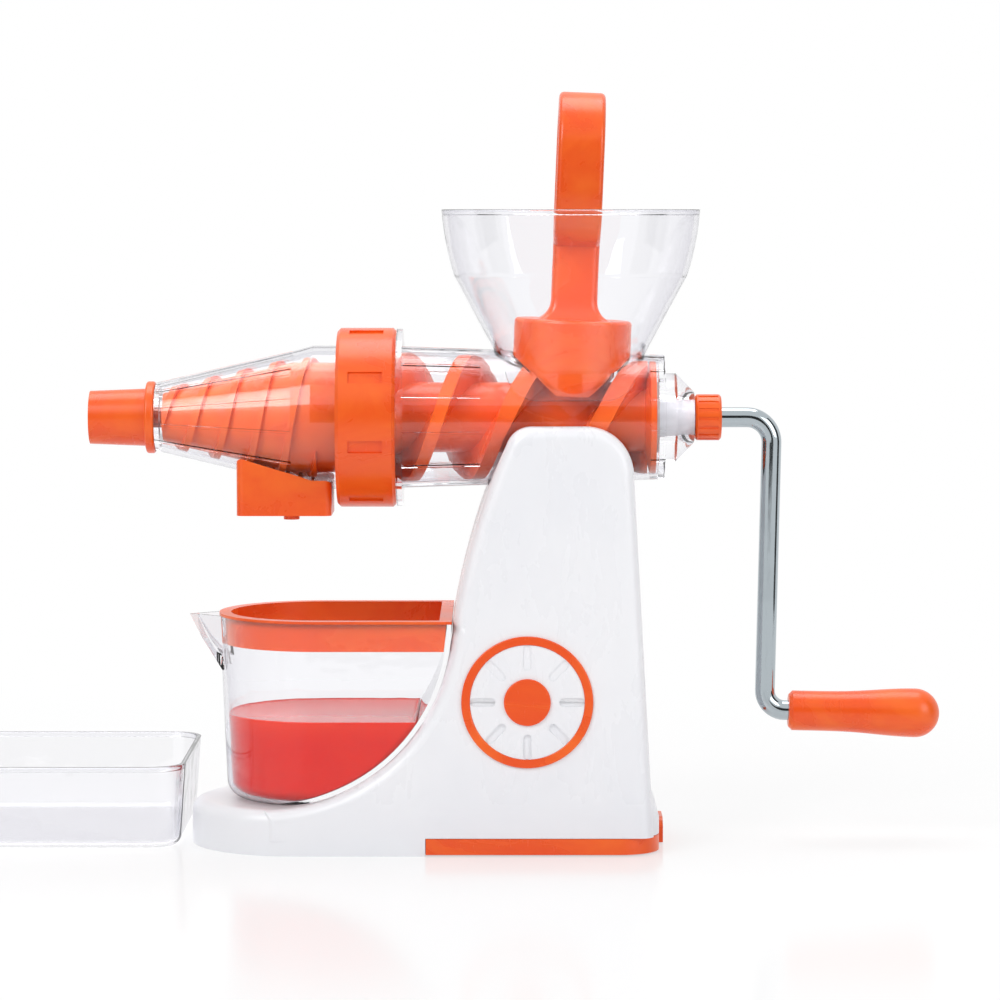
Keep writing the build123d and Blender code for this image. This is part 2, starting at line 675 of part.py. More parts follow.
with BuildPart() as barrel_screw:
    with Locations((TONGUE_X, 0, HOLLOW_TOP)):
        Cylinder(SCREW_HEAD_RADIUS, SCREW_HEAD, align=(Align.CENTER, Align.CENTER, Align.MAX))
        Cylinder(
            SCREW_RADIUS - SNUG,
            TONGUE_Z - HOLLOW_TOP + SCREW_REACH,
            align=(Align.CENTER, Align.CENTER, Align.MIN),
        )
barrel_screw.part.label = "barrel_screw"
export_step(barrel_screw.part, "parts/barrel_screw.step")

# ---------------------------------------------------------------- hopper
def bowl_outline(inset):
    """Half section of the hopper's bowl and neck, taken in by inset, down to the axis."""
    rim = HOPPER_X + RIM_RADIUS - inset
    middle = HOPPER_X + (RIM_RADIUS + CONE_TOP_RADIUS) / 2 + BOWL_SWELL - inset
    knee = HOPPER_X + CONE_TOP_RADIUS - inset
    neck = HOPPER_X + THROAT_RADIUS + CLEAR_WALL - inset
    with BuildSketch(Plane.XZ) as outline:
        with BuildLine():
            ThreePointArc((rim, RIM_Z), (middle, (RIM_Z + CONE_Z) / 2), (knee, CONE_Z))
            Polyline((knee, CONE_Z), (neck, NECK_Z), (neck, SHAFT_Z), (HOPPER_X, SHAFT_Z))
            Polyline((HOPPER_X, SHAFT_Z), (HOPPER_X, RIM_Z), (rim, RIM_Z))
        make_face()
    return outline.sketch


saddle_x = (HOPPER_X - SADDLE_HALF, HOPPER_X + SADDLE_HALF)
with BuildPart() as saddle:
    revolve(
        shaft_outline(
            [
                (saddle_x[0], barrel_radius(saddle_x[0]) - CLEAR_WALL),
                (saddle_x[1], barrel_radius(saddle_x[1]) - CLEAR_WALL),
                (saddle_x[1], barrel_radius(saddle_x[1]) + SNUG + CLEAR_WALL),
                (saddle_x[0], barrel_radius(saddle_x[0]) + SNUG + CLEAR_WALL),
            ]
        ),
        axis=SHAFT,
    )

with BuildPart() as hopper:
    revolve(bowl_outline(0), axis=HOPPER)
    add(saddle.part)
    with BuildSketch(Plane.XZ) as kept_side:
        with Locations((HOPPER_X, SADDLE_Z)):
            Rectangle(2 * SADDLE_HALF, BIG, align=(Align.CENTER, Align.MIN))
        fillet(kept_side.vertices().group_by(Axis.Y)[0], SADDLE_ROUND)
        with Locations((HOPPER_X, NECK_Z)):
            Rectangle(BIG, BIG, align=(Align.CENTER, Align.MIN))
    extrude(amount=BIG, both=True, mode=Mode.INTERSECT)
    revolve(bowl_outline(CLEAR_WALL), axis=HOPPER, mode=Mode.SUBTRACT)
    add(round_barrel(SNUG), mode=Mode.SUBTRACT)
hopper.part.label = "hopper"
export_step(hopper.part, "parts/hopper.step")

# ---------------------------------------------------------------- front cone and its gasket
rim_x = SPIGOT_X - GASKET_THICK
with BuildPart() as front_cone:
    revolve(
        shaft_outline(
            [
                (CONE_TIP_X - NECK_LENGTH, NECK_RADIUS),
                (CONE_TIP_X, NECK_RADIUS),
                (CONE_TIP_X, CONE_TIP_RADIUS),
                (CONE_BASE_X, CONE_BASE_RADIUS),
                (COLLAR_X, COLLAR_RADIUS),
                (rim_x - RIM_THICK, COLLAR_RADIUS),
                (rim_x - RIM_THICK, LUG_RADIUS),
                (rim_x, LUG_RADIUS),
                (rim_x, COLLAR_RADIUS - CLEAR_WALL),
                (COLLAR_X, COLLAR_RADIUS - CLEAR_WALL),
                (CONE_BASE_X, CONE_BASE_RADIUS - CLEAR_WALL),
                (CONE_TIP_X + CLEAR_WALL, cone_radius(CONE_TIP_X + CLEAR_WALL) - CLEAR_WALL),
                (CONE_TIP_X + CLEAR_WALL, NECK_BORE),
                (CONE_TIP_X - NECK_LENGTH, NECK_BORE),
            ]
        ),
        axis=SHAFT,
    )
    clear_turns = [turn for turn in RIB_TURNS if not 45 < turn < 135]
    add(
        surface_ribs(
            [
                (CONE_TIP_X, CONE_TIP_RADIUS - RIB_HEIGHT),
                (CONE_BASE_X, CONE_BASE_RADIUS - RIB_HEIGHT),
                (CONE_BASE_X, CONE_BASE_RADIUS + RIB_HEIGHT),
                (CONE_TIP_X, CONE_TIP_RADIUS + RIB_HEIGHT),
            ],
            clear_turns,
        )
    )
    with Locations(*[(SLOT_FIRST_X + step * SLOT_PITCH, 0, 0) for step in range(SLOT_COUNT)]):
        Box(
            SLOT_WIDTH,
            SLOT_SPAN,
            SHAFT_Z - CONE_TIP_RADIUS,
            align=(Align.CENTER, Align.CENTER, Align.MIN),
            mode=Mode.SUBTRACT,
        )
front_cone.part.label = "front_cone"
export_step(front_cone.part, "parts/front_cone.step")

with BuildPart() as seal_ring:
    revolve(
        shaft_outline(
            [
                (rim_x, COLLAR_RADIUS - CLEAR_WALL + SNUG),
                (SPIGOT_X, COLLAR_RADIUS - CLEAR_WALL + SNUG),
                (SPIGOT_X, SPIGOT_RADIUS),
                (rim_x, SPIGOT_RADIUS),
            ]
        ),
        axis=SHAFT,
    )
seal_ring.part.label = "seal_ring"
export_step(seal_ring.part, "parts/seal_ring.step")

# ---------------------------------------------------------------- bayonet locking ring
ring_rear_x = FLANGE_X - FACE_GAP / 2
with BuildPart() as locking_ring:
    revolve(
        shaft_outline(
            [
                (RING_FRONT_X, COLLAR_RADIUS + FREE),
                (RING_FRONT_X, RING_RADIUS),
                (ring_rear_x, RING_RADIUS),
                (ring_rear_x, RING_BORE),
                (RING_FRONT_X + RING_LIP, RING_BORE),
                (RING_FRONT_X + RING_LIP, COLLAR_RADIUS + FREE),
            ]
        ),
        axis=SHAFT,
    )
    chamfer(locking_ring.edges().filter_by(GeomType.CIRCLE).group_by(SortBy.RADIUS)[-1], RING_CHAMFER)
    with Locations(Plane(origin=((RING_FRONT_X + ring_rear_x) / 2, 0, SHAFT_Z), z_dir=(1, 0, 0))):
        with PolarLocations(RING_RADIUS, RING_GROOVES, start_angle=GROOVE_TURN):
            Box(
                2 * GROOVE_DEPTH,
                GROOVE_WIDTH,
                ring_rear_x - RING_FRONT_X - 2 * GROOVE_WIDTH,
                mode=Mode.SUBTRACT,
            )
    add(
        arc_lugs(
            ring_rear_x - RING_LUG_THICK,
            ring_rear_x,
            SPIGOT_RADIUS + FREE,
            RING_BORE + EMBED,
            LUG_ARC - 2 * LUG_PLAY,
            LUG_PLAY,
        )
    )
locking_ring.part.label = "locking_ring"
export_step(locking_ring.part, "parts/locking_ring.step")

# ---------------------------------------------------------------- nozzle on the cone's neck
nozzle_start_x = CONE_TIP_X - FACE_GAP
with BuildPart() as outlet_nozzle:
    revolve(
        shaft_outline(
            [
                (nozzle_start_x, NECK_RADIUS + RUN),
                (nozzle_start_x, NOZZLE_FLANGE_RADIUS),
                (nozzle_start_x - NOZZLE_FLANGE, NOZZLE_FLANGE_RADIUS),
                (nozzle_start_x - NOZZLE_FLANGE, NOZZLE_RADIUS),
                (NOZZLE_END_X, NOZZLE_END_RADIUS),
                (NOZZLE_END_X, NECK_BORE),
                (CONE_TIP_X - NECK_LENGTH - FACE_GAP, NECK_BORE),
                (CONE_TIP_X - NECK_LENGTH - FACE_GAP, NECK_RADIUS + RUN),
            ]
        ),
        axis=SHAFT,
    )
    outer_rims = outlet_nozzle.edges().filter_by(GeomType.CIRCLE).group_by(SortBy.RADIUS)
    fillet(outer_rims[-1], NOZZLE_ROUND)
outlet_nozzle.part.label = "outlet_nozzle"
export_step(outlet_nozzle.part, "parts/outlet_nozzle.step")

# ---------------------------------------------------------------- juice spout under the cone
spout_middle = (SPOUT_FRONT_X + SPOUT_REAR_X) / 2
spout_length = SPOUT_REAR_X - SPOUT_FRONT_X
with BuildPart() as juice_spout:
    with BuildSketch(Plane.XY.offset(SPOUT_Z)):
        with Locations((spout_middle, 0)):
            RectangleRounded(spout_length, SPOUT_WIDTH, SPOUT_ROUND)
    extrude(amount=SHAFT_Z - SPOUT_Z - CONE_TIP_RADIUS)
    with Locations((DRIP_X, 0, DRIP_Z)):
        Cylinder(DRIP_RADIUS, SPOUT_Z - DRIP_Z, align=(Align.CENTER, Align.CENTER, Align.MIN))
    with BuildSketch(Plane.XY.offset(SPOUT_Z + CLEAR_WALL)):
        with Locations((spout_middle, 0)):
            RectangleRounded(
                spout_length - 2 * CLEAR_WALL, SPOUT_WIDTH - 2 * CLEAR_WALL, SPOUT_ROUND / 2
            )
    extrude(amount=BIG / 10, mode=Mode.SUBTRACT)
    with Locations((DRIP_X, 0, SPOUT_Z)):
        Cylinder(DRIP_BORE, 3 * DRIP_RADIUS, mode=Mode.SUBTRACT)
    revolve(
        shaft_outline(
            [
                (CONE_TIP_X, 0),
                (CONE_TIP_X, CONE_TIP_RADIUS + SNUG),
                (CONE_BASE_X, CONE_BASE_RADIUS + SNUG),
                (COLLAR_X, COLLAR_RADIUS + SNUG),
                (0, COLLAR_RADIUS + SNUG),
                (0, 0),
            ]
        ),
        axis=SHAFT,
        mode=Mode.SUBTRACT,
    )
juice_spout.part.label = "juice_spout"
export_step(juice_spout.part, "parts/juice_spout.step")

# ---------------------------------------------------------------- rear bearing
with BuildPart() as rear_bush:
    revolve(
        shaft_outline(
            [
                (wall_x, SHANK_RADIUS + RUN),
                (wall_x, bush_radius),
                (nose_end_x, bush_radius),
                (nose_end_x, SHANK_RADIUS + RUN),
            ]
        ),
        axis=SHAFT,
    )
rear_bush.part.label = "rear_bush"
export_step(rear_bush.part, "parts/rear_bush.step")

with BuildPart() as rear_seal:
    revolve(
        shaft_outline(
            [
                (wall_x - SEAL_THICK, SHANK_RADIUS + FREE),
                (wall_x - SEAL_THICK, CORE_RADIUS),
                (wall_x, CORE_RADIUS),
                (wall_x, SHANK_RADIUS + FREE),
            ]
        ),
        axis=SHAFT,
    )
rear_seal.part.label = "rear_seal"
export_step(rear_seal.part, "parts/rear_seal.step")

# ---------------------------------------------------------------- screw
def wedge_section(x, root, crest):
    """Cross-section of the flights: one tapering lobe for each start, near and far."""
    plane = Plane(origin=(x, 0, SHAFT_Z), x_dir=(0, -1, 0), z_dir=(1, 0, 0))
    root_half = radians(FLIGHT_ROOT_ARC / 2)
    crest_half = radians(FLIGHT_CREST_ARC / 2)
    lobe = [
        (root * cos(root_half), -root * sin(root_half)),
        (crest * cos(crest_half), -crest * sin(crest_half)),
        (crest, 0),
        (crest * cos(crest_half), crest * sin(crest_half)),
        (root * cos(root_half), root * sin(root_half)),
    ]
    with BuildSketch(plane) as section:
        for start in range(LOBES):
            with BuildSketch(mode=Mode.PRIVATE) as one_lobe:
                with BuildLine():
                    Polyline(lobe, close=True)
                make_face()
            add(one_lobe.sketch, rotation=start * 360 / LOBES)
    return section.sketch


def twisted(section_x, end_x, lead, root, crest):
    """Left-handed flights from a section's place to another place along the screw."""
    reach = end_x - section_x
    turn = -360 * abs(reach) / lead
    flights = []
    for face in wedge_section(section_x, root, crest).faces():
        flights.append(
            Solid.extrude_linear_with_rotation(
                face, center=(section_x, 0, SHAFT_Z), normal=(reach, 0, 0), angle=turn
            )
        )
    return flights


disc_x = wall_x - SEAL_THICK - FACE_GAP / 2
disc_front_x = disc_x - DISC_THICK
over = BARREL_FRONT_RADIUS + CREST_GAP
flight_root = CORE_RADIUS - FLIGHT_SINK
press_flights = twisted(LEAD_CHANGE_X, PRESS_END_X, LEAD_PRESS, flight_root, over)
feed_flights = twisted(LEAD_CHANGE_X, disc_front_x + DISC_THICK / 4, LEAD_FEED, flight_root, over)
ridge_end_x = CONE_BASE_X + RIDGE_RUN_ON
ridges = twisted(TIP_PHASE_X, TIP_X, LEAD_TIP, RIDGE_ROOT, over)
ridges += twisted(TIP_PHASE_X, ridge_end_x, LEAD_TIP, RIDGE_ROOT, over)

flight_envelope = turned(
    [
        (PRESS_END_X, 0),
        (PRESS_END_X, bore_radius(flange_rear_x) - CREST_GAP),
        (flange_rear_x, bore_radius(flange_rear_x) - CREST_GAP),
        (disc_x, bore_radius(disc_x) - CREST_GAP),
        (disc_x, 0),
    ]
)
tip_envelope = turned(
    [
        (TIP_X, 0),
        (TIP_X, cone_radius(TIP_X) - CLEAR_WALL - CREST_GAP),
        (CONE_BASE_X, CONE_BASE_RADIUS - CLEAR_WALL - CREST_GAP),
        (ridge_end_x, CONE_BASE_RADIUS - CLEAR_WALL - CREST_GAP),
        (ridge_end_x, 0),
    ]
)


def tip_root(x):
    """Radius of the screw's cone between its ridges."""
    return cone_radius(x) - CLEAR_WALL - CREST_GAP - RIDGE_HEIGHT


with BuildPart() as main_flights:
    add(press_flights + feed_flights)
    add(flight_envelope, mode=Mode.INTERSECT)

with BuildPart() as tip_ridges:
    add(ridges)
    add(tip_envelope, mode=Mode.INTERSECT)

shank_end_x = nose_end_x + SHANK_PROUD
with BuildPart() as auger:
    revolve(
        shaft_outline(
            [
                (NIB_X, 0),
                (NIB_X, NIB_RADIUS),
                (TIP_X, NIB_RADIUS),
                (TIP_X, tip_root(TIP_X)),
                (CONE_BASE_X, tip_root(CONE_BASE_X)),
                (PRESS_END_X, tip_root(CONE_BASE_X)),
                (flange_rear_x, CORE_RADIUS),
                (disc_front_x, CORE_RADIUS),
                (disc_front_x + DISC_THICK / 2, bore_radius(disc_x) - CREST_GAP),
                (disc_x, bore_radius(disc_x) - CREST_GAP),
                (disc_x, SHANK_RADIUS),
                (shank_end_x, SHANK_RADIUS),
                (shank_end_x, 0),
            ]
        ),
        axis=SHAFT,
    )
    add(main_flights.part)
    add(tip_ridges.part)
    insert_depth = shank_end_x - wall_x
    with Locations(Plane(origin=(shank_end_x, 0, SHAFT_Z), z_dir=(-1, 0, 0))):
        Cylinder(
            INSERT_RADIUS,
            insert_depth,
            align=(Align.CENTER, Align.CENTER, Align.MIN),
            mode=Mode.SUBTRACT,
        )
auger.part.label = "auger"
export_step(auger.part, "parts/auger.step")

with BuildPart() as auger_insert:
    revolve(
        shaft_outline(
            [
                (wall_x, STUD_RADIUS + SNUG),
                (wall_x, INSERT_RADIUS - SNUG),
                (shank_end_x, INSERT_RADIUS - SNUG),
                (shank_end_x, STUD_RADIUS + SNUG),
            ]
        ),
        axis=SHAFT,
    )
auger_insert.part.label = "auger_insert"
export_step(auger_insert.part, "parts/auger_insert.step")

# ---------------------------------------------------------------- crank
lean = radians(CRANK_LEAN)
corner_low = (CRANK_X - CRANK_THROW * sin(lean), SHAFT_Z - CRANK_THROW * cos(lean))
grip_way = (cos(lean), -sin(lean))


def along_grip(distance):
    """Point on the grip's axis at a distance from the arm's line."""
    return (corner_low[0] + grip_way[0] * distance, corner_low[1] + grip_way[1] * distance)


rod_end = GRIP_START + GRIP_LENGTH * 0.8
with BuildPart() as crank_rod:
    with BuildLine(Plane.XZ) as rod_path:
        FilletPolyline(
            (shank_end_x, SHAFT_Z),
            (CRANK_X, SHAFT_Z),
            corner_low,
            along_grip(rod_end),
            radius=[UPPER_BEND, LOWER_BEND],
        )
    with BuildSketch(Plane(origin=(shank_end_x, 0, SHAFT_Z), z_dir=(1, 0, 0))):
        Circle(ROD_RADIUS)
    sweep(path=rod_path.line)
    with Locations(Plane(origin=(shank_end_x, 0, SHAFT_Z), z_dir=(-1, 0, 0))):
        Cylinder(STUD_RADIUS, insert_depth - STUD_GAP, align=(Align.CENTER, Align.CENTER, Align.MIN))
crank_rod.part.label = "crank_rod"
export_step(crank_rod.part, "parts/crank_rod.step")

nut_x = nose_end_x + FACE_GAP * 2
with BuildPart() as crank_nut:
    revolve(
        shaft_outline(
            [
                (nut_x, SHANK_RADIUS + SNUG),
                (nut_x, NUT_RADIUS),
                (nut_x + NUT_LENGTH, NUT_RADIUS),
                (nut_x + NUT_LENGTH, ROD_RADIUS + SNUG),
                (shank_end_x + SNUG, ROD_RADIUS + SNUG),
                (shank_end_x + SNUG, SHANK_RADIUS + SNUG),
            ]
        ),
        axis=SHAFT,
    )
    chamfer(crank_nut.edges().filter_by(GeomType.CIRCLE).group_by(SortBy.RADIUS)[-1], NUT_CHAMFER)
    with Locations(Plane(origin=(nut_x + NUT_LENGTH / 2, 0, SHAFT_Z), z_dir=(1, 0, 0))):
        with PolarLocations(NUT_RADIUS, NUT_GROOVES):
            Box(
                2 * NUT_GROOVE_DEPTH,
                NUT_GROOVE_WIDTH,
                NUT_LENGTH - 3 * NUT_CHAMFER,
                mode=Mode.SUBTRACT,
            )
crank_nut.part.label = "crank_nut"
export_step(crank_nut.part, "parts/crank_nut.step")

grip_start = along_grip(GRIP_START)
grip_frame = Plane(
    origin=(grip_start[0], 0, grip_start[1]),
    x_dir=(grip_way[0], 0, grip_way[1]),
    z_dir=(0, -1, 0),
)
clip_at = GRIP_LENGTH * 0.72
with BuildPart() as grip:
    with BuildSketch(grip_frame):
        with BuildLine():
            Line((0, 0), (0, GRIP_NECK_RADIUS - GRIP_CHAMFER))
            Line((0, GRIP_NECK_RADIUS - GRIP_CHAMFER), (GRIP_CHAMFER, GRIP_NECK_RADIUS))
            Spline(
                (GRIP_CHAMFER, GRIP_NECK_RADIUS),
                (GRIP_LENGTH * 0.45, GRIP_NECK_RADIUS + GRIP_SWELL),
                (GRIP_LENGTH - GRIP_BELLY_RADIUS, GRIP_BELLY_RADIUS),
                tangents=((1, 0), (1, 0)),
            )
            CenterArc((GRIP_LENGTH - GRIP_BELLY_RADIUS, 0), GRIP_BELLY_RADIUS, 0, 90)
            Line((GRIP_LENGTH, 0), (0, 0))
        make_face()
    revolve(axis=Axis(grip_frame.origin, grip_frame.x_dir))
    with BuildSketch(grip_frame):
        Rectangle(rod_end - GRIP_START + FREE, ROD_RADIUS + RUN, align=(Align.MIN, Align.MIN))
        with Locations((clip_at - FREE, 0)):
            Rectangle(
                CLIP_THICK + 2 * FREE, CLIP_RADIUS + FREE, align=(Align.MIN, Align.MIN)
            )
    revolve(axis=Axis(grip_frame.origin, grip_frame.x_dir), mode=Mode.SUBTRACT)
grip.part.label = "grip"
export_step(grip.part, "parts/grip.step")

with BuildPart() as grip_clip:
    with BuildSketch(grip_frame):
        with Locations((clip_at, ROD_RADIUS + SNUG)):
            Rectangle(
                CLIP_THICK, CLIP_RADIUS - ROD_RADIUS - SNUG, align=(Align.MIN, Align.MIN)
            )
    revolve(axis=Axis(grip_frame.origin, grip_frame.x_dir))
grip_clip.part.label = "grip_clip"
export_step(grip_clip.part, "parts/grip_clip.step")

# ---------------------------------------------------------------- pusher
pivot = Axis((HOPPER_X, 0, (NECK_Z + SADDLE_Z) / 2), (0, 1, 0))
plug_radius = THROAT_RADIUS - PUSHER_GAP
with BuildPart() as handle_loop:
    with BuildSketch(Plane.YZ.offset(HOPPER_X)):
        with Locations((0, (LOOP_FOOT + PUSHER_TOP) / 2)):
            RectangleRounded(2 * LOOP_HALF, PUSHER_TOP - LOOP_FOOT, LOOP_HALF - EMBED)
            RectangleRounded(
                2 * (LOOP_HALF - LOOP_BAR),
                PUSHER_TOP - LOOP_FOOT - 2 * LOOP_BAR,
                LOOP_HALF - LOOP_BAR - EMBED,
                mode=Mode.SUBTRACT,
            )
    extrude(amount=SHAFT_WIDTH / 2, both=True)
    side_faces = handle_loop.faces().filter_by(Axis.X)
    fillet([edge for face in side_faces for edge in face.edges()], LOOP_ROUND)

with BuildPart() as upright_pusher:
    with Locations((HOPPER_X, 0, PLUG_FOOT)):
        Cylinder(plug_radius, PLUG_TOP - PLUG_FOOT, align=(Align.CENTER, Align.CENTER, Align.MIN))
    fillet(upright_pusher.edges().group_by(Axis.Z)[-1], PLUG_ROUND)
    with BuildSketch(Plane.XY.offset(PLUG_TOP - EMBED)):
        with Locations((HOPPER_X, 0)):
            RectangleRounded(SHAFT_WIDTH, SHAFT_DEPTH, SHAFT_ROUND)
    extrude(amount=LOOP_FOOT + LOOP_BAR - PLUG_TOP)
    with BuildSketch(Plane.XY.offset(PLUG_TOP - EMBED)):
        with Locations((HOPPER_X, 0)):
            RectangleRounded(SHAFT_WIDTH + 2 * FLARE, SHAFT_DEPTH + FLARE, SHAFT_ROUND)
    with BuildSketch(Plane.XY.offset(PLUG_TOP + FLARE * 0.4)):
        with Locations((HOPPER_X, 0)):
            RectangleRounded(SHAFT_WIDTH + FLARE * 0.6, SHAFT_DEPTH + FLARE * 0.4, SHAFT_ROUND)
    with BuildSketch(Plane.XY.offset(PLUG_TOP + FLARE * 1.5)):
        with Locations((HOPPER_X, 0)):
            RectangleRounded(SHAFT_WIDTH, SHAFT_DEPTH, SHAFT_ROUND)
    loft()
    add(handle_loop.part)

with BuildPart() as pusher:
    add(upright_pusher.part.rotate(pivot, PUSHER_TILT))
    add(round_barrel(FREE / 2 - CLEAR_WALL), mode=Mode.SUBTRACT)
pusher.part.label = "pusher"
export_step(pusher.part, "parts/pusher.step")


# ---------------------------------------------------------------- cup
cup_arc_x = CUP_LEFT + CUP_WIDTH / 2


def cup_plan(inset):
    """Plan of the cup at its rim: a half round front end and a square rear end."""
    with BuildSketch() as outline:
        with Locations((cup_arc_x, 0)):
            Circle(CUP_WIDTH / 2 - inset)
            Rectangle(
                CUP_RIGHT - inset - cup_arc_x,
                CUP_WIDTH - 2 * inset,
                align=(Align.MIN, Align.CENTER),
            )
    return outline.sketch


def cup_section(inset, top):
    """Cross-section of the cup: drafted sides and a flat foot with round corners."""
    foot = NEST_Z - NEST_RADIUS + FREE + inset
    head_half = CUP_WIDTH / 2 - inset
    foot_half = head_half - (top - foot) * tan(radians(CUP_DRAFT))
    with BuildSketch(Plane.YZ.offset(cup_arc_x)) as outline:
        with BuildLine():
            Polyline(
                [(-foot_half, foot), (foot_half, foot), (head_half, top), (-head_half, top)],
                close=True,
            )
        make_face()
        fillet(outline.vertices().group_by(Axis.Y)[0], CUP_FOOT_ROUND - inset)
    return outline.sketch


def nest_cut(inset):
    """What lies beyond the cup's curved rear side."""
    nest = NEST_RADIUS - FREE - inset
    with BuildPart() as cut:
        with BuildSketch(Plane.XZ):
            with BuildLine():
                CenterArc((NEST_X, NEST_Z), nest, 270, 90)
                Line((NEST_X + nest, NEST_Z), (NEST_X + nest, RIM_Z))
                Line((NEST_X + nest, RIM_Z), (RIM_Z, RIM_Z))
                Line((RIM_Z, RIM_Z), (RIM_Z, NEST_Z - nest))
                Line((RIM_Z, NEST_Z - nest), (NEST_X, NEST_Z - nest))
            make_face()
        extrude(amount=CUP_WIDTH, both=True)
    return cut.part


def cup_form(inset, top):
    """The cup's outer body, or its inside when the walls are taken in by inset."""
    with BuildPart() as form:
        extrude(cup_section(inset, top), amount=BIG / 2)
        section = cup_section(inset, top)
        near_half = split(section, bisect_by=Plane.XZ, keep=Keep.TOP, mode=Mode.PRIVATE)
        revolve(near_half, axis=Axis((cup_arc_x, 0, 0), (0, 0, 1)))
        add(nest_cut(inset), mode=Mode.SUBTRACT)
    return form.part


def lip_form(inset):
    """Pouring lip: a wedge that runs out from the cup's front wall."""
    tip = LIP_TIP_X + 2 * inset
    with BuildPart() as form:
        with BuildSketch(Plane.XZ):
            with BuildLine():
                Polyline(
                    (CUP_LEFT + LIP_ROOT, CUP_RIM_Z),
                    (tip, CUP_RIM_Z),
                    (tip + LIP_RAKE, CUP_RIM_Z - LIP_NOSE),
                    (CUP_LEFT + CUP_WALL + inset, LIP_FOOT_Z + 2 * inset),
                    (CUP_LEFT + LIP_ROOT, LIP_FOOT_Z + 2 * inset),
                    close=True,
                )
            make_face()
        extrude(amount=LIP_HALF, both=True)
        with BuildSketch():
            with BuildLine():
                Polyline(
                    (tip, LIP_TIP_HALF),
                    (tip, -LIP_TIP_HALF),
                    (CUP_LEFT + LIP_ROOT / 2, -LIP_HALF + inset),
                    (CUP_LEFT + LIP_ROOT + EMBED, -LIP_HALF + inset),
                    (CUP_LEFT + LIP_ROOT + EMBED, LIP_HALF - inset),
                    (CUP_LEFT + LIP_ROOT / 2, LIP_HALF - inset),
                    close=True,
                )
            make_face()
        extrude(amount=BIG, mode=Mode.INTERSECT)
    return form.part


with BuildPart() as cup:
    add(cup_form(0, CUP_RIM_Z))
    add(lip_form(0))
    add(cup_form(CUP_WALL, CUP_RIM_Z + COLLAR_FLANGE), mode=Mode.SUBTRACT)
    add(lip_form(CUP_WALL), mode=Mode.SUBTRACT)
cup.part.label = "cup"
export_step(cup.part, "parts/cup.step")

collar_top = CUP_RIM_Z + COLLAR_FLANGE
with BuildPart() as cup_collar:
    add(cup_form(CUP_WALL + FREE, collar_top))
    with Locations((0, 0, CUP_RIM_Z - COLLAR_DEPTH)):
        Box(BIG, BIG, BIG, align=(Align.CENTER, Align.CENTER, Align.MAX), mode=Mode.SUBTRACT)
    with BuildSketch(Plane.XY.offset(CUP_RIM_Z)):
        add(cup_plan(FREE / 4))
    extrude(amount=COLLAR_FLANGE)
    add(cup_form(CUP_WALL + FREE + COLLAR_WALL, collar_top + EMBED), mode=Mode.SUBTRACT)
    with Locations((0, 0, collar_top)):
        Box(BIG, BIG, BIG, align=(Align.CENTER, Align.CENTER, Align.MIN), mode=Mode.SUBTRACT)
cup_collar.part.label = "cup_collar"
export_step(cup_collar.part, "parts/cup_collar.step")


# ---------------------------------------------------------------- pulp tray
def tray_form(inset, floor):
    """Outside of the tray, or its inside when taken in by inset above the floor."""
    with BuildPart() as form:
        with BuildSketch(Plane.XY.offset(TRAY_HEIGHT)):
            with Locations((TRAY_RIGHT - TRAY_LENGTH / 2, (TRAY_NEAR + TRAY_FAR) / 2)):
                RectangleRounded(
                    TRAY_LENGTH - 2 * inset,
                    TRAY_FAR - TRAY_NEAR - 2 * inset,
                    TRAY_ROUND - inset,
                )
        extrude(amount=floor - TRAY_HEIGHT, taper=TRAY_DRAFT)
        fillet(form.edges().group_by(Axis.Z)[0], TRAY_FOOT_ROUND - inset)
    return form.part


with BuildPart() as pulp_tray:
    add(tray_form(0, 0))
    add(tray_form(TRAY_WALL, TRAY_WALL), mode=Mode.SUBTRACT)
pulp_tray.part.label = "pulp_tray"
export_step(pulp_tray.part, "parts/pulp_tray.step")
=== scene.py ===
"""A hand-cranked juicer with a clear hopper, barrel and cone: its finishes, fine pieces and studio."""
from math import cos, pi, radians, sin, sqrt, tan

import bmesh
import bpy
from bpy.props import FloatProperty, FloatVectorProperty, IntProperty, PointerProperty
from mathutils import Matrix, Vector


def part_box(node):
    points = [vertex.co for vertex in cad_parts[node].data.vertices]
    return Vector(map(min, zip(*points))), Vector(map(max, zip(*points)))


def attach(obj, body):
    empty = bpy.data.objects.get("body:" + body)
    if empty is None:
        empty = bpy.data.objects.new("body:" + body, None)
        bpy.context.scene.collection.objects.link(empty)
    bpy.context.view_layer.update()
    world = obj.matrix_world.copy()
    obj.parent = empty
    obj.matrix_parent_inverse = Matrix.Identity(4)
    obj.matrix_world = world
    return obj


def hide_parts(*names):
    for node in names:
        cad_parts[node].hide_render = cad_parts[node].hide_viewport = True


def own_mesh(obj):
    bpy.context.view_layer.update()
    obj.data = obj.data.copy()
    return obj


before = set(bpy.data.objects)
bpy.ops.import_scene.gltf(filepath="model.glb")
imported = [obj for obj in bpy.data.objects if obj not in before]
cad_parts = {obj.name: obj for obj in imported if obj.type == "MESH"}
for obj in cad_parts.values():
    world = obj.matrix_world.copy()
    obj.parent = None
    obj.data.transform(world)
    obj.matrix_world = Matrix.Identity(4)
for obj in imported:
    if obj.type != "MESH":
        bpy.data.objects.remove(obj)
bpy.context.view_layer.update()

MM = 0.001
GRAIN_DEPTH = 0.05 * MM     # depth of the fine grain in the surfaces

# The inside of the cup, as its walls and its curved rear side leave it.
CUP_WALL = 1.8 * MM
CUP_DRAFT = radians(2.5)
CUP_FLOOR_ROUND = 5.2 * MM
CUP_RIM_Z = 91.5 * MM
NEST_RADIUS = 72.0 * MM     # radius of the cup's curved rear side
NEST_CENTRE = (-62.4 * MM, 91.9 * MM)

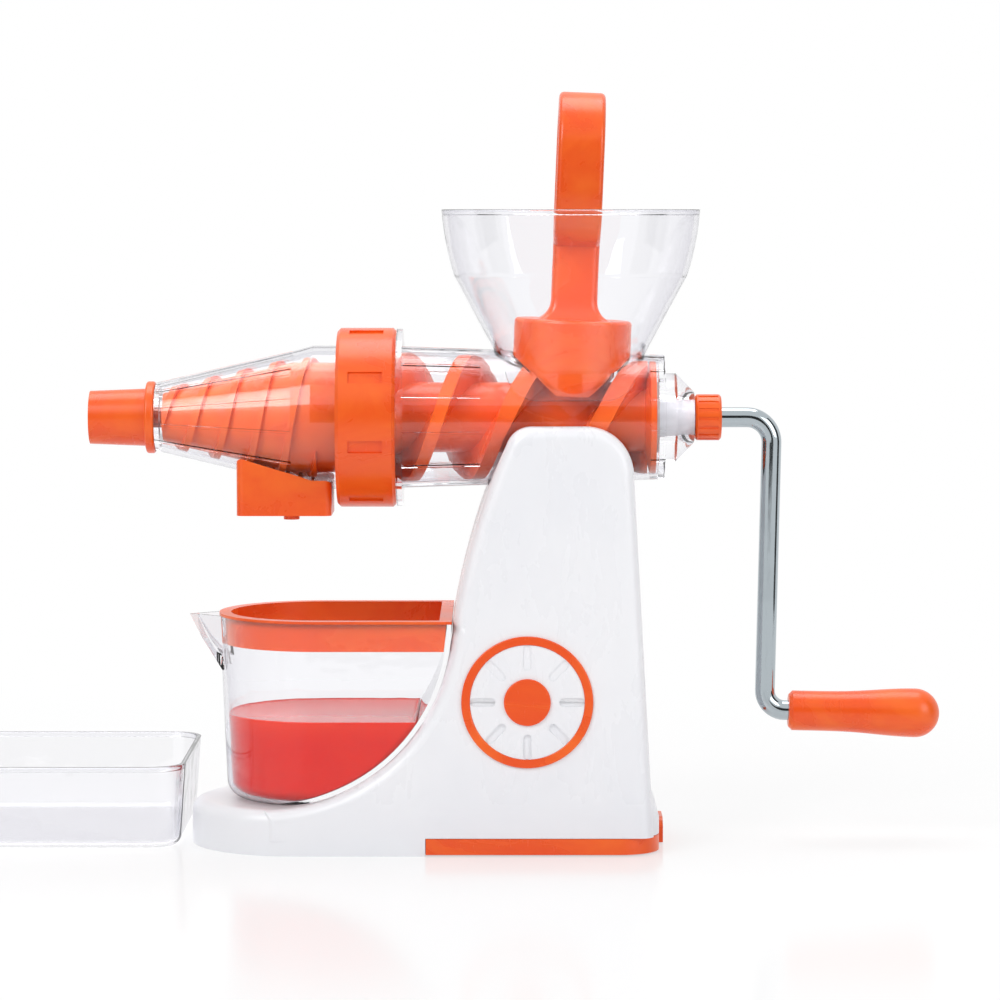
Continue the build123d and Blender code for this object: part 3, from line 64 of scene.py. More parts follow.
# The studio, in metres. The floor takes shadow up to the first reach and is plain white past the second.
SHADOW_REACH = 0.16
WHITE_REACH = 0.52
LOOK_AT = (0.0, 0.0, 0.15)
LAMPS = (  # name, place, size, and the setting with its power
    ("key_lamp", (-0.9, -1.1, 1.2), (0.9, 0.9), "key_power"),
    ("fill_lamp", (1.1, -0.9, 0.7), (0.7, 0.9), "fill_power"),
    ("top_lamp", (0.0, 0.3, 1.4), (1.2, 0.8), "top_power"),
)
BOARDS = (  # name, middle of the foot, run of the foot, height and grey
    ("left_flag", (-0.75, -0.1, 0.0), (0.0, 0.35, 0.0), 0.9, 0.05),
    ("right_flag", (0.85, -0.1, 0.0), (0.0, 0.35, 0.0), 0.9, 0.05),
    ("front_flag", (0.0, -1.9, -0.3), (1.5, 0.0, 0.0), 1.3, 0.04),
)
SENSOR_WIDTH = 36.0         # of the camera, in millimetres

bl_info = {
    "name": "Hand-cranked juicer",
    "version": (1, 0, 0),
    "blender": (4, 5, 0),
    "location": "3D View > Sidebar > Juicer",
    "description": "Finishes, fine pieces and a studio for a hand-cranked screw juicer",
    "category": "Object",
}

# The nodes of each finish.
WHITE_NODES = ("stand_shell", "base_plate", "badge_disc", "rear_bush")
ORANGE_NODES = (
    "suction_slide", "badge_ring", "badge_cap", "locking_ring", "outlet_nozzle", "juice_spout",
    "crank_nut", "grip", "pusher", "cup_collar",
)
SCREW_NODES = ("auger",)
CLEAR_NODES = ("barrel", "hopper", "front_cone", "cup", "pulp_tray")
CHROME_NODES = ("crank_rod",)
STEEL_NODES = ("plate_screws", "suction_stem", "stem_pin", "barrel_screw", "grip_clip")
BRASS_NODES = ("auger_insert",)
RUBBER_NODES = ("suction_pad", "seal_ring", "rear_seal")


# ---------------------------------------------------------------- sizes and colours
def length(name, description, millimetres):
    """A length that a user may set, kept in metres."""
    return FloatProperty(
        name=name, description=description, default=millimetres * MM, min=0.0, unit="LENGTH"
    )


def colour(name, description, value):
    """A surface colour that a user may set."""
    return FloatVectorProperty(
        name=name, description=description, default=value, size=3, min=0.0, max=1.0, subtype="COLOR"
    )


class JuicerColours(bpy.types.PropertyGroup):
    """Colours of the juicer's surfaces."""

    white: colour("White", "The stand's plastic", (0.87, 0.875, 0.90))
    # This colour serves the random cloudy patches and also the painted shade at the stand's foot
    white_cloud_and_shade: colour("White shade", "The cloudier patches of the stand", (0.81, 0.82, 0.86))
    orange: colour("Orange", "The moulded orange pieces", (0.83, 0.080, 0.007))
    # Light orange is a painted glow of light through the plastic, laid on in the flow marks
    orange_light: colour("Light orange", "Where the orange is thin or lit through", (0.90, 0.135, 0.010))
    screw: colour("Screw", "The screw inside the barrel", (0.80, 0.085, 0.012))
    clear: colour("Clear", "Clear plastic seen straight through", (0.97, 0.97, 0.985))
    # A painted dark reflection that tints the clear walls where they are seen edge on
    clear_painted_edge: colour("Clear edge", "Clear plastic seen along its wall", (0.30, 0.27, 0.38))
    chrome: colour("Chrome", "The crank's plated rod", (0.44, 0.49, 0.52))
    steel: colour("Steel", "Screws, stem and clip", (0.58, 0.58, 0.60))
    brass: colour("Brass", "The threaded insert", (0.76, 0.58, 0.28))
    rubber: colour("Rubber", "The pad and the seals", (0.55, 0.55, 0.53))
    juice: colour("Juice", "The juice in the cup", (0.69, 0.008, 0.002))
    juice_light: colour("Juice edge", "The juice near its surface", (0.79, 0.030, 0.006))
    floor: colour("Floor", "The studio's floor", (0.92, 0.92, 0.925))


class JuicerSizes(bpy.types.PropertyGroup):
    """Sizes of the fine pieces."""

    rim_bead: length("Rim bead", "Radius of the rolled rim of the hopper and the tray", 1.1)
    juice_level: length("Juice level", "Height of the juice above the counter", 52.0)
    juice_gap: length("Juice gap", "Between the juice and the cup's wall", 0.15)
    meniscus: length("Meniscus", "How far the juice climbs at the wall", 0.5)
    ring_turns: IntProperty(
        name="Turns", description="Corners in a round of the finest rings", default=128, min=24
    )


class StudioSettings(bpy.types.PropertyGroup):
    """The camera, the lamps and the floor."""

    camera_x: length("Camera across", "The camera's place along the screw", 30.4)
    camera_away: length("Camera distance", "From the camera to the screw's axis", 1500.0)
    camera_height: length("Camera height", "The camera's height over the counter", 254.0)
    camera_pitch: FloatProperty(
        name="Camera pitch", description="How far the camera looks down", default=radians(4.45),
        subtype="ANGLE",
    )
    lens: FloatProperty(name="Lens", description="Focal length in millimetres", default=135.0)
    key_power: FloatProperty(name="Key", description="The large lamp at the left", default=13.5)
    fill_power: FloatProperty(name="Fill", description="The lamp at the right", default=6.5)
    top_power: FloatProperty(name="Top", description="The lamp overhead", default=10.0)
    sky: FloatProperty(name="Sky", description="Strength of the even light", default=0.37)
    floor_glow: FloatProperty(
        name="Floor glow", description="How much of the floor shows as plain white", default=0.55
    )


# ---------------------------------------------------------------- shader expressions
class Wire:
    """An output in a material's nodes. Python's operators on it add Math nodes."""

    def __init__(self, tree, socket=None):
        self.tree = tree
        self.socket = socket

    def node(self, kind, settings=None, inputs=None, output=0):
        """Adds any other node: first its settings, then the values or links of its sockets."""
        added = self.tree.nodes.new(kind)
        for name, value in (settings or {}).items():
            setattr(added, name, value)
        for name, value in (inputs or {}).items():
            if isinstance(value, Wire):
                self.tree.links.new(value.socket, added.inputs[name])
            else:
                added.inputs[name].default_value = value
        return Wire(self.tree, added.outputs[output]) if len(added.outputs) else None

    def maths(self, operation, *values):
        """Adds a Math node."""
        return self.node("ShaderNodeMath", {"operation": operation}, dict(enumerate(values)))

    def __add__(self, other):
        return self.maths("ADD", self, other)

    def __radd__(self, other):
        return self.maths("ADD", other, self)

    def __sub__(self, other):
        return self.maths("SUBTRACT", self, other)

    def __rsub__(self, other):
        return self.maths("SUBTRACT", other, self)

    def __mul__(self, other):
        return self.maths("MULTIPLY", self, other)

    def __rmul__(self, other):
        return self.maths("MULTIPLY", other, self)

    def __pow__(self, other):
        return self.maths("POWER", self, other)

    def __rpow__(self, other):
        return self.maths("POWER", other, self)


def opaque(rgb):
    """A colour with full alpha."""
    return (rgb[0], rgb[1], rgb[2], 1.0)


def blend_colours(mask, low, high):
    """Goes from one colour to another as the mask goes from 0 to 1."""
    ends = [end if isinstance(end, Wire) else opaque(end) for end in (low, high)]
    return mask.node(
        "ShaderNodeMix", {"data_type": "RGBA"}, {0: mask, 6: ends[0], 7: ends[1]}, output=2
    )


def noise(place, scale, detail=3.0, roughness=0.5, distortion=0.0):
    """Cloudy noise between 0 and 1, with features of about 1 / scale metres."""
    sizes = {"Scale": scale, "Detail": detail, "Roughness": roughness, "Distortion": distortion}
    return place.node("ShaderNodeTexNoise", {}, {"Vector": place, **sizes})


def stretched(place, along_x, along_y, along_z):
    """The place, scaled along each axis, for grain that runs one way."""
    return place.node(
        "ShaderNodeMapping", {}, {"Vector": place, "Scale": (along_x, along_y, along_z)}
    )


def ramp(value, low, high):
    """Goes from 0 to 1 while the value goes from low to high."""
    return value.node(
        "ShaderNodeMapRange", {"interpolation_type": "SMOOTHSTEP"}, {0: value, 1: low, 2: high}
    )


def bump(height, strength, depth):
    """A normal that follows a height between 0 and 1, with its depth in metres."""
    sizes = {"Strength": strength, "Distance": depth}
    return height.node("ShaderNodeBump", {}, {"Height": height, **sizes})


def part_of(place, axis):
    """One coordinate of a place."""
    return place.node("ShaderNodeSeparateXYZ", {}, {"Vector": place}, output=axis)


def in_view(wire):
    """1 where the camera looks straight at a surface, in gloss or through glass, and 0 elsewhere."""
    seen = wire.node("ShaderNodeLightPath", output="Is Camera Ray")
    mirrored = wire.node("ShaderNodeLightPath", output="Is Glossy Ray")
    through = wire.node("ShaderNodeLightPath", output="Is Transmission Ray")
    return wire.maths("MINIMUM", seen + mirrored + through, 1.0)


def finish(name, build, *colours):
    """A new material whose surface is what build returns."""
    material = bpy.data.materials.new(name)
    material.use_nodes = True
    tree = material.node_tree
    tree.nodes.clear()
    blank = Wire(tree)
    place = blank.node("ShaderNodeTexCoord", output="Object")
    surface = build(place, *colours)
    blank.node("ShaderNodeOutputMaterial", {}, {"Surface": surface})
    return material


# ---------------------------------------------------------------- finishes
def soft_gloss(place, plain, shade):
    """White moulded plastic: a soft gloss, faint clouds, painted shade darkening its lowest 3 cm, and a
    fine grain from the mould.
    """
    clouds = noise(place, scale=16.0, detail=4.0)
    smears = noise(stretched(place, 30.0, 30.0, 9.0), 3.0, detail=4.0, roughness=0.6, distortion=0.4)
    grain = noise(place, scale=900.0, detail=2.0)
    # Painted shade: the stand grows darker towards the counter over its lowest 3 cm; the same band also
    # roughens the gloss there
    foot = 1.0 - ramp(part_of(place, "Z"), 0.0, 0.03)
    tone = blend_colours(ramp(clouds, 0.35, 0.75) * 0.7 + foot * 0.3, plain, shade)
    gloss = 0.26 + 0.10 * ramp(smears, 0.4, 0.8) + 0.06 * foot
    return place.node(
        "ShaderNodeBsdfPrincipled",
        {},
        {
            "Base Color": tone,
            "Roughness": gloss,
            "IOR": 1.5,
            "Normal": bump(grain, strength=0.12, depth=GRAIN_DEPTH),
        },
    )


def gloss_plastic(place, plain, light):
    """Glossy coloured plastic with the melt's faint flow marks, whose lighter patches are also a painted
    glow of light through the plastic.
    """
    flow_and_glow = noise(stretched(place, 22.0, 40.0, 40.0), 1.0, detail=5.0, roughness=0.55, distortion=0.8)
    grain = noise(place, scale=700.0, detail=2.0)
    scuffs = noise(stretched(place, 260.0, 60.0, 60.0), 1.6, detail=6.0, roughness=0.7)
    # Painted glow: the flow-mark noise lightens the colour towards light orange, as if lit through the
    # plastic
    tone = blend_colours(ramp(flow_and_glow, 0.35, 0.72), plain, light)
    gloss = 0.24 + 0.12 * ramp(flow_and_glow, 0.3, 0.8) + 0.10 * ramp(scuffs, 0.58, 0.75)
    return place.node(
        "ShaderNodeBsdfPrincipled",
        {},
        {
            "Base Color": tone,
            "Roughness": gloss,
            "IOR": 1.49,
            "Normal": bump(grain, strength=0.10, depth=GRAIN_DEPTH),
        },
    )


def clear_plastic(place, plain, edge):
    """Clear plastic with a painted dark reflection along its walls where they are seen edge on, and the
    mould's slow waves in its surface.
    """
    waves = noise(stretched(place, 60.0, 90.0, 90.0), 1.0, detail=2.0)
    # Painted reflection: the colour turns dark grey-purple where the wall is seen edge on, standing in
    # for dark surroundings seen in it
    side = place.node("ShaderNodeLayerWeight", {}, {"Blend": 0.35}, output="Facing")
    tone = blend_colours(side**2.2, plain, edge)
    glass = place.node(
        "ShaderNodeBsdfPrincipled",
        {},
        {
            "Base Color": tone,
            "Roughness": 0.012,
            "IOR": 1.38,
            "Transmission Weight": 1.0,
            "Normal": bump(waves, strength=0.12, depth=0.4 * MM),
        },
    )
    lamp_side = place.node("ShaderNodeBsdfTransparent", {}, {"Color": (0.93, 0.93, 0.94, 1.0)})
    to_lamp = place.node("ShaderNodeLightPath", output="Is Shadow Ray")
    return place.node("ShaderNodeMixShader", {}, {0: to_lamp, 1: glass, 2: lamp_side})


def bright_metal(place, plain, gloss, streak):
    """Metal with fine streaks along its length."""
    lines = noise(stretched(place, streak, streak, streak / 12.0), 1.0, detail=4.0, roughness=0.6)
    spots = noise(place, scale=55.0)
    tone = blend_colours(ramp(spots, 0.45, 0.8) * 0.35, plain, [0.75 * part for part in plain])
    return place.node(
        "ShaderNodeBsdfPrincipled",
        {},
        {
            "Base Color": tone,
            "Metallic": 1.0,
            "Roughness": gloss + 0.09 * ramp(lines, 0.4, 0.75),
            "Normal": bump(lines, strength=0.06, depth=GRAIN_DEPTH),
        },
    )


def plating(place, plain):
    """Polished plating on a drawn rod."""
    return bright_metal(place, plain, gloss=0.06, streak=1400.0)


def plain_metal(place, plain):
    """Turned or drawn metal, not polished."""
    return bright_metal(place, plain, gloss=0.28, streak=2600.0)


def soft_rubber(place, plain):
    """Matt rubber with a dusty grain."""
    grain = noise(place, scale=1100.0)
    dust = noise(place, scale=40.0, detail=4.0)
    tone = blend_colours(ramp(dust, 0.4, 0.8), plain, [min(1.0, part * 1.18) for part in plain])
    return place.node(
        "ShaderNodeBsdfPrincipled",
        {},
        {
            "Base Color": tone,
            "Roughness": 0.6 + 0.15 * dust,
            "Normal": bump(grain, strength=0.25, depth=2 * GRAIN_DEPTH),
        },
    )


def fresh_juice(place, deep, light):
    """Juice with a paler layer near its surface and fine pulp in it."""
    height = part_of(place, "Z")
    pulp = noise(place, scale=420.0, detail=4.0, roughness=0.65)
    swirl = noise(stretched(place, 26.0, 26.0, 50.0), 1.0, detail=4.0, roughness=0.6, distortion=1.2)
    level = bpy.context.scene.juicer_sizes.juice_level
    near_top = ramp(height, level - 0.009, level)
    mask = 0.30 * ramp(swirl, 0.4, 0.8) + 0.55 * near_top + 0.20 * ramp(pulp, 0.62, 0.78)
    return place.node(
        "ShaderNodeBsdfPrincipled",
        {},
        {
            "Base Color": blend_colours(mask, deep, light),
            "Roughness": 0.10 + 0.08 * pulp,
            "IOR": 1.22,
            "Normal": bump(pulp, strength=0.05, depth=0.2 * MM),
        },
    )


def studio_floor(place, tone, glow):
    """A smooth white floor: plain white far from the juicer, and taking shadow and gloss near it."""
    marks = noise(place, scale=3.0)
    across, away = part_of(place, "X"), part_of(place, "Y")
    reach = (across * across + away * away) ** 0.5
    glow = glow + (1.0 - glow) * ramp(reach, SHADOW_REACH, WHITE_REACH)
    lit = place.node(
        "ShaderNodeBsdfPrincipled",
        {},
        {
            "Base Color": blend_colours(marks * 0.2, tone, [0.97 * part for part in tone]),
            "Roughness": 0.13 + 0.03 * marks,
        },
    )
    white = place.node("ShaderNodeEmission", {}, {"Color": (1.0, 1.0, 1.0, 1.0), "Strength": 1.0})
    return place.node("ShaderNodeMixShader", {}, {0: in_view(place) * glow, 1: lit, 2: white})


# ---------------------------------------------------------------- meshes
def piece_from(name, vertices, faces, material, smooth=True):
    """A new mesh object in the scene, from points in metres and faces."""
    mesh = bpy.data.meshes.new(name)
    mesh.from_pydata([tuple(point) for point in vertices], [], faces)
    mesh.update()
    shape = bmesh.new()
    shape.from_mesh(mesh)
    bmesh.ops.recalc_face_normals(shape, faces=shape.faces)
    shape.to_mesh(mesh)
    shape.free()
    if smooth:
        mesh.polygons.foreach_set("use_smooth", [True] * len(mesh.polygons))
    mesh.materials.append(material)
    piece = bpy.data.objects.new(name, mesh)
    bpy.context.scene.collection.objects.link(piece)
    return piece


def place_piece(piece, body):
    """The piece rides on a body."""
    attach(piece, body)
    return piece


def closed_tube(path, radius, sides=12):
    """Vertices and faces of a round bead along a closed flat path of (x, y, z) points."""
    count = len(path)
    vertices = []
    for index, point in enumerate(path):
        ahead = path[(index + 1) % count] - path[index - 1]
        out = Vector((ahead.y, -ahead.x, 0.0)).normalized()
        for side in range(sides):
            turn = 2 * pi * side / sides
            vertices.append(point + radius * (cos(turn) * out + sin(turn) * Vector((0, 0, 1))))
    faces = []
    for index in range(count):
        after = (index + 1) % count
        for side in range(sides):
            beside = (side + 1) % sides
            faces.append(
                (
                    index * sides + side, after * sides + side,
                    after * sides + beside, index * sides + beside,
                )
            )
    return vertices, faces


def turned_mesh(profile, centre, turns):
    """Vertices and faces of a closed (radius, height) profile turned round an upright axis."""
    count = len(profile)
    vertices = []
    for turn in range(turns):
        angle = 2 * pi * turn / turns
        for radius, height in profile:
            x, y = radius * cos(angle), radius * sin(angle)
            vertices.append(Vector((centre.x + x, centre.y + y, height)))
    faces = []
    for turn in range(turns):
        first, after = turn * count, (turn + 1) % turns * count
        for index in range(count):
            beside = (index + 1) % count
            faces.append((first + index, after + index, after + beside, first + beside))
    return vertices, faces


def give(nodes, material):
    """Puts a material on CAD nodes."""
    for name in nodes:
        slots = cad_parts[name].material_slots
        if not slots:
            raise RuntimeError(f"{name} has no material slot")
        for slot in slots:
            slot.material = material


def made(name, build, *colours):
    """The material of that name, made once."""
    return bpy.data.materials.get(name) or finish(name, build, *colours)


def clear_material():
    """Clear plastic in the chosen colours."""
    tones = bpy.context.scene.juicer_colours
    return made("clear_plastic_wall", clear_plastic, tones.clear, tones.clear_painted_edge)


# ---------------------------------------------------------------- operators
class JUICER_OT_white_parts(bpy.types.Operator):
    """Give the stand, its plate, the badge's disc and the bush their white plastic"""

    bl_idname = "juicer.white_parts"
    bl_label = "White pieces"

    def execute(self, context):
        tones = context.scene.juicer_colours
        give(WHITE_NODES, made("white_plastic_gloss", soft_gloss, tones.white, tones.white_cloud_and_shade))
        return {"FINISHED"}


class JUICER_OT_orange_parts(bpy.types.Operator):
    """Give the moulded orange pieces and the screw their glossy plastic"""

    bl_idname = "juicer.orange_parts"
    bl_label = "Orange pieces"

    def execute(self, context):
        tones = context.scene.juicer_colours
        give(ORANGE_NODES, made("orange_plastic_gloss", gloss_plastic, tones.orange, tones.orange_light))
        give(SCREW_NODES, made("screw_plastic", gloss_plastic, tones.screw, tones.orange_light))
        return {"FINISHED"}


class JUICER_OT_clear_parts(bpy.types.Operator):
    """Give the hopper, barrel, cone, cup and tray their clear plastic"""

    bl_idname = "juicer.clear_parts"
    bl_label = "Clear pieces"

    def execute(self, context):
        give(CLEAR_NODES, clear_material())
        return {"FINISHED"}


class JUICER_OT_metal_parts(bpy.types.Operator):
    """Give the rod its plating, and the screws, stem, clip and insert their metal"""

    bl_idname = "juicer.metal_parts"
    bl_label = "Metal pieces"

    def execute(self, context):
        tones = context.scene.juicer_colours
        give(CHROME_NODES, made("chrome_plating", plating, tones.chrome))
        give(STEEL_NODES, made("plain_steel", plain_metal, tones.steel))
        give(BRASS_NODES, made("turned_brass", plain_metal, tones.brass))
        return {"FINISHED"}


class JUICER_OT_rubber_parts(bpy.types.Operator):
    """Give the suction pad and the seals their rubber"""

    bl_idname = "juicer.rubber_parts"
    bl_label = "Rubber pieces"

    def execute(self, context):
        tones = context.scene.juicer_colours
        give(RUBBER_NODES, made("soft_rubber", soft_rubber, tones.rubber))
        return {"FINISHED"}


class JUICER_OT_suction_pad(bpy.types.Operator):
    """Make the suction foot's soft pad, with grip ridges on its back"""

    bl_idname = "juicer.suction_pad"
    bl_label = "Suction pad"

    skin: length("Skin", "Thickness of the pad's skin", 1.6)
    hub: length("Hub", "Radius of the flat middle under the stem's foot", 6.5)
    ridge: length("Ridge", "Height of the grip ridges on the pad's back", 0.25)
    ridges: IntProperty(name="Ridges", description="Grip ridges on the pad's back", default=4)
    drop: length("Drop", "How far the stem presses the pad down", 4.0)
    curve: FloatProperty(
        name="Curve", description="How much the pad's back curves down at its edge", default=1.4
    )
    points: IntProperty(name="Points", description="Points across each ridge", default=8)

    def execute(self, context):
        low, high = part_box("suction_pad")
        centre = (low + high) / 2
        edge, top, skin = (high.x - low.x) / 2, high.z, self.skin
        steps = self.points * self.ridges
        back = []
        for step in range(steps + 1):
            share = step / steps
            swell = self.ridge * max(0.0, sin(2 * pi * self.ridges * share))
            height = top + (skin - top) * share**self.curve - self.ridge * (share > 0) + swell
            back.append((self.hub + (edge - self.hub) * share, height))
        bevel, vent = 0.3 * skin, skin / 4
        lip = [(edge, bevel), (edge - bevel, 0.0), (edge - 2 * skin, 0.0)]
        under = [(self.hub, top - skin), (vent, top - skin), (vent, top)]
        rubber = made("soft_rubber", soft_rubber, context.scene.juicer_colours.rubber)
        shape = turned_mesh(back + lip + under, centre, context.scene.juicer_sizes.ring_turns)
        pad = piece_from("suction_pad_soft", *shape, rubber)
        place_piece(pad, "stand")
        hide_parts("suction_pad")
        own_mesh(pad)
        return {"FINISHED"}


def hopper_rim_path(bead, turns):
    """Middle line of the hopper's rolled rim."""
    low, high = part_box("hopper")
    middle = (low + high) / 2
    radius = (high.x - low.x) / 2 - bead
    return [
        Vector(
            (
                middle.x + radius * cos(2 * pi * turn / turns),
                middle.y + radius * sin(2 * pi * turn / turns),
                high.z - bead,
            )
        )
        for turn in range(turns)
    ]


def tray_rim_path(bead, corner, steps):
    """Middle line of the tray's rolled rim: straight sides with round corners."""
    low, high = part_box("pulp_tray")
    path = []
    for quarter, (x, y) in enumerate(
        (
            (high.x - corner, high.y - corner),
            (low.x + corner, high.y - corner),
            (low.x + corner, low.y + corner),
            (high.x - corner, low.y + corner),
        )
    ):
        for step in range(steps + 1):
            turn = (quarter + step / steps) * pi / 2
            radius = corner - bead
            path.append(Vector((x + radius * cos(turn), y + radius * sin(turn), high.z - bead)))
    return path


class JUICER_OT_rims(bpy.types.Operator):
    """Roll the rims of the hopper and the tray"""

    bl_idname = "juicer.rims"
    bl_label = "Rolled rims"

    corner: length("Corner", "Plan radius of the tray's corners", 14.0)

    def execute(self, context):
        sizes = context.scene.juicer_sizes
        bead = sizes.rim_bead
        clear = clear_material()
        rims = (
            ("hopper_rim", hopper_rim_path(bead, sizes.ring_turns), "stand"),
            ("tray_rim", tray_rim_path(bead, self.corner, 12), "tray"),
        )
        for name, path, body in rims:
            piece = piece_from(name, *closed_tube(path, bead), clear)
            place_piece(piece, body)
        return {"FINISHED"}


# ---------------------------------------------------------------- juice
def cup_half_width(z, gap):
    """Half of the width inside the cup at a height."""
    low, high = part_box("cup")
    half = (high.y - low.y) / 2 - CUP_WALL - gap - (CUP_RIM_Z - z) * tan(CUP_DRAFT)
    floor = NEST_CENTRE[1] - NEST_RADIUS
    above = z - floor
    if above < CUP_FLOOR_ROUND:
        half -= CUP_FLOOR_ROUND - sqrt(CUP_FLOOR_ROUND**2 - (CUP_FLOOR_ROUND - above) ** 2)
    return half


def cup_rear(z, gap):
    """Where the cup's curved rear side lies inside at a height."""
    reach = NEST_RADIUS - gap
    return NEST_CENTRE[0] + sqrt(max(0.0, reach**2 - (NEST_CENTRE[1] - z) ** 2))


def juice_round(z, arc_x, gap, stations, inset=0.0):
    """Outline of the juice at a height: along the near side to the front, and back on the far side."""
    half = cup_half_width(z, gap) - inset
    front, rear = arc_x - half, cup_rear(z, gap) - inset
    side = []
    for station in range(stations + 1):
        x = rear + (front - rear) * sin(pi / 2 * station / stations)
        width = half if x >= arc_x else sqrt(max(0.0, half**2 - (x - arc_x) ** 2))
        side.append((x, width))
    near = [Vector((x, -width, z)) for x, width in side]
    far = [Vector((x, width, z)) for x, width in reversed(side[:-1])]
    return near + far


class JUICER_OT_juice(bpy.types.Operator):
    """Fill the cup with juice up to its level"""

    bl_idname = "juicer.juice"
    bl_label = "Juice in the cup"

    layers: IntProperty(name="Layers", description="Rounds between floor and surface", default=26)
    stations: IntProperty(name="Stations", description="Points along each side", default=40)
    crowding: FloatProperty(
        name="Crowding", description="How much closer the rounds lie near the floor", default=1.6
    )

    def execute(self, context):
        sizes = context.scene.juicer_sizes
        tones = context.scene.juicer_colours
        low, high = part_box("cup_collar")
        arc_x = low.x + (high.y - low.y) / 2
        gap = sizes.juice_gap
        floor = NEST_CENTRE[1] - NEST_RADIUS + 2 * gap
        rounds = []     # from the floor up the walls, then down the meniscus to the surface
        for layer in range(self.layers + 1):
            share = layer / self.layers
            z = floor + (sizes.juice_level - floor) * share**self.crowding
            rounds.append(juice_round(z, arc_x, gap, self.stations))
        for climb, inset in ((1.0, 0.1 * MM), (0.3, 0.8 * MM), (0.0, 2.0 * MM)):
            z = sizes.juice_level + climb * sizes.meniscus
            rounds.append(juice_round(z, arc_x, gap, self.stations, inset))
        count = len(rounds[0])
        vertices = [point for one in rounds for point in one]
        faces = []
        for row in range(len(rounds) - 1):
            for index in range(count):
                after = (index + 1) % count
                faces.append(
                    (
                        row * count + index, row * count + after,
                        (row + 1) * count + after, (row + 1) * count + index,
                    )
                )
        faces += lid(0, count)
        faces += lid((len(rounds) - 1) * count, count)
        liquid = made("fresh_juice", fresh_juice, tones.juice, tones.juice_light)
        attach(piece_from("juice", vertices, faces, liquid), "juice_cup")
        return {"FINISHED"}


def lid(first, count):
    """Faces that close an outline that goes down one side and back up the other."""
    faces = []
    half = count // 2
    for index in range(half):
        near, near_next = first + index, first + index + 1
        far, far_next = first + count - 1 - index, first + count - 2 - index
        if near_next == far_next:
            faces.append((near, near_next, far))
        else:
            faces.append((near, near_next, far_next, far))
    return faces


# ---------------------------------------------------------------- studio
def soft_lamp(name, place, size, power):
    """A large soft lamp that looks at the juicer's middle."""
    light = bpy.data.lights.new(name, "AREA")
    light.shape = "RECTANGLE"
    light.size, light.size_y = size
    light.energy = power
    lamp = bpy.data.objects.new(name, light)
    bpy.context.scene.collection.objects.link(lamp)
    lamp.location = place
    lamp.rotation_euler = (Vector(LOOK_AT) - Vector(place)).to_track_quat("-Z", "Y").to_euler()


def board(name, foot, along, height, tone):
    """A dark upright board off the picture, seen only in gloss and through the clear walls."""
    foot, half, up = Vector(foot), Vector(along) / 2, Vector((0.0, 0.0, height))
    corners = [foot - half, foot + half, foot + half + up, foot - half + up]
    material = finish(name + "_face", board_face, tone)
    sheet = piece_from(name, corners, [(0, 1, 2, 3)], material, smooth=False)
    sheet.visible_camera = False
    sheet.visible_diffuse = False
    sheet.visible_shadow = False


def board_face(place, tone):
    """Matt grey cloth with no light of its own."""
    cloth = noise(place, scale=300.0, detail=2.0)
    shade = blend_colours(cloth * 0.3, [tone] * 3, [tone * 0.8] * 3)
    return place.node("ShaderNodeBsdfPrincipled", {}, {"Base Color": shade, "Roughness": 0.9})


def build_world(strength):
    """Even light from all round, and plain white where the camera or gloss sees it."""
    world = bpy.data.worlds.new("studio_world")
    bpy.context.scene.world = world
    world.use_nodes = True
    world.node_tree.nodes.clear()
    blank = Wire(world.node_tree)
    light = strength + in_view(blank) * (1.0 - strength)
    sky = blank.node("ShaderNodeBackground", {}, {"Color": (1.0, 1.0, 1.0, 1.0), "Strength": light})
    blank.node("ShaderNodeOutputWorld", {}, {"Surface": sky})


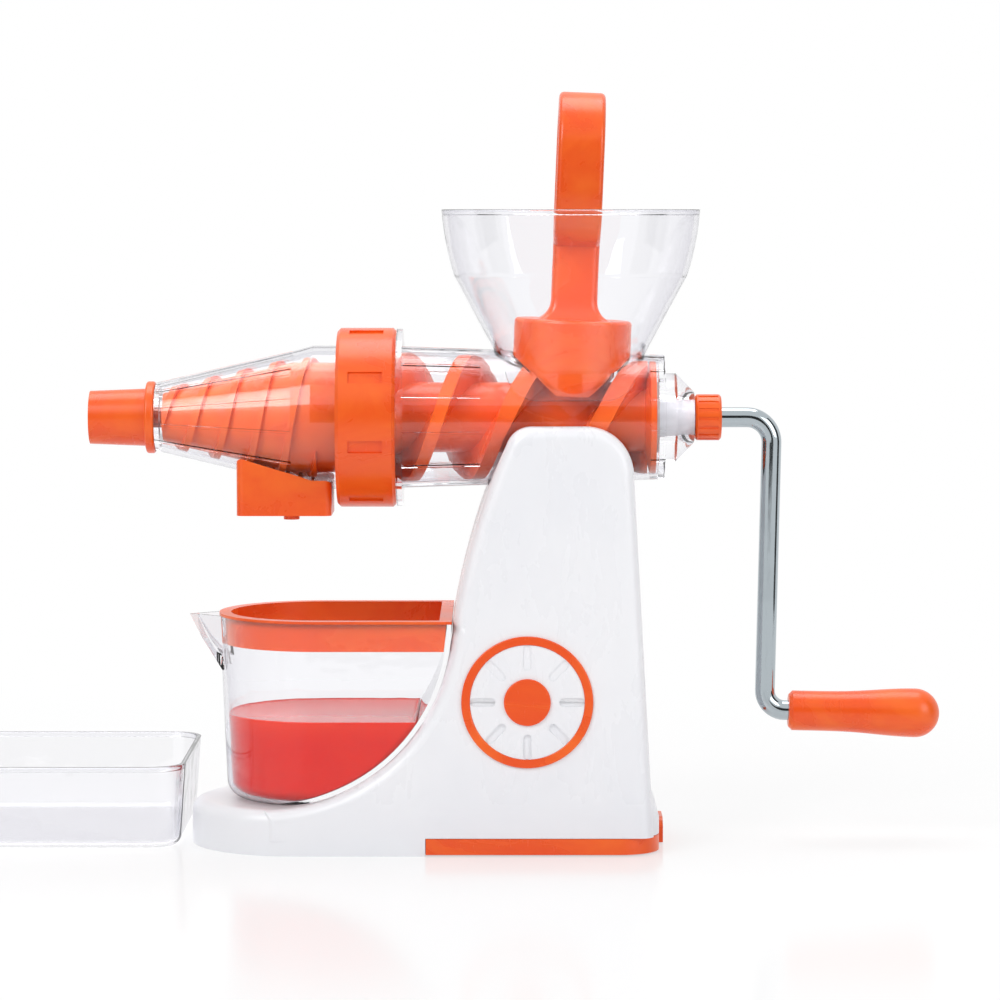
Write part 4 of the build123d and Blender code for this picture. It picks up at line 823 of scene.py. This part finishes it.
class JUICER_OT_stage(bpy.types.Operator):
    """Make the floor, the lamps and the camera"""

    bl_idname = "juicer.stage"
    bl_label = "Studio"

    floor_half: FloatProperty(name="Floor", description="Half of the floor's side", default=12.0)

    def execute(self, context):
        studio = context.scene.juicer_studio
        tones = context.scene.juicer_colours
        half = self.floor_half
        corners = [(-half, -half, 0.0), (half, -half, 0.0), (half, half, 0.0), (-half, half, 0.0)]
        face = finish("floor_face", studio_floor, tones.floor, studio.floor_glow)
        piece_from("floor", corners, [(0, 1, 2, 3)], face, smooth=False)
        for name, place, size, power in LAMPS:
            soft_lamp(name, place, size, getattr(studio, power))
        for name, foot, along, height, tone in BOARDS:
            board(name, foot, along, height, tone)
        build_world(studio.sky)
        view = bpy.data.cameras.new("photo_camera")
        view.lens = studio.lens
        view.sensor_width = SENSOR_WIDTH
        camera = bpy.data.objects.new("photo_camera", view)
        context.scene.collection.objects.link(camera)
        camera.location = (studio.camera_x, -studio.camera_away, studio.camera_height)
        camera.rotation_euler = (pi / 2 - studio.camera_pitch, 0.0, 0.0)
        context.scene.camera = camera
        context.scene.view_settings.view_transform = "Standard"
        return {"FINISHED"}


# ---------------------------------------------------------------- panel and registration
GROUPS = (
    ("juicer_colours", JuicerColours),
    ("juicer_sizes", JuicerSizes),
    ("juicer_studio", StudioSettings),
)
OPERATORS = (
    JUICER_OT_stage,
    JUICER_OT_white_parts,
    JUICER_OT_orange_parts,
    JUICER_OT_clear_parts,
    JUICER_OT_metal_parts,
    JUICER_OT_rubber_parts,
    JUICER_OT_suction_pad,
    JUICER_OT_rims,
    JUICER_OT_juice,
)


class JUICER_PT_panel(bpy.types.Panel):
    """Lists the juicer's steps with its sizes and colours"""

    bl_idname = "JUICER_PT_panel"
    bl_label = "Juicer"
    bl_space_type = "VIEW_3D"
    bl_region_type = "UI"
    bl_category = "Juicer"

    def draw(self, context):
        for operator in OPERATORS:
            self.layout.operator(operator.bl_idname)
        for name, group in GROUPS:
            box = self.layout.box()
            for value in group.__annotations__:
                box.prop(getattr(context.scene, name), value)


def register():
    """Registers the classes and hangs the settings on the scene."""
    for name, group in GROUPS:
        bpy.utils.register_class(group)
        setattr(bpy.types.Scene, name, PointerProperty(type=group))
    for operator in OPERATORS:
        bpy.utils.register_class(operator)
    bpy.utils.register_class(JUICER_PT_panel)


def unregister():
    """Takes away what register added."""
    bpy.utils.unregister_class(JUICER_PT_panel)
    for operator in reversed(OPERATORS):
        bpy.utils.unregister_class(operator)
    for name, group in reversed(GROUPS):
        delattr(bpy.types.Scene, name)
        bpy.utils.unregister_class(group)


def main():
    """Builds the looks in order."""
    register()
    for operator in OPERATORS:
        group, name = operator.bl_idname.split(".")
        getattr(getattr(bpy.ops, group), name)()


if __name__ == "__main__":
    main()
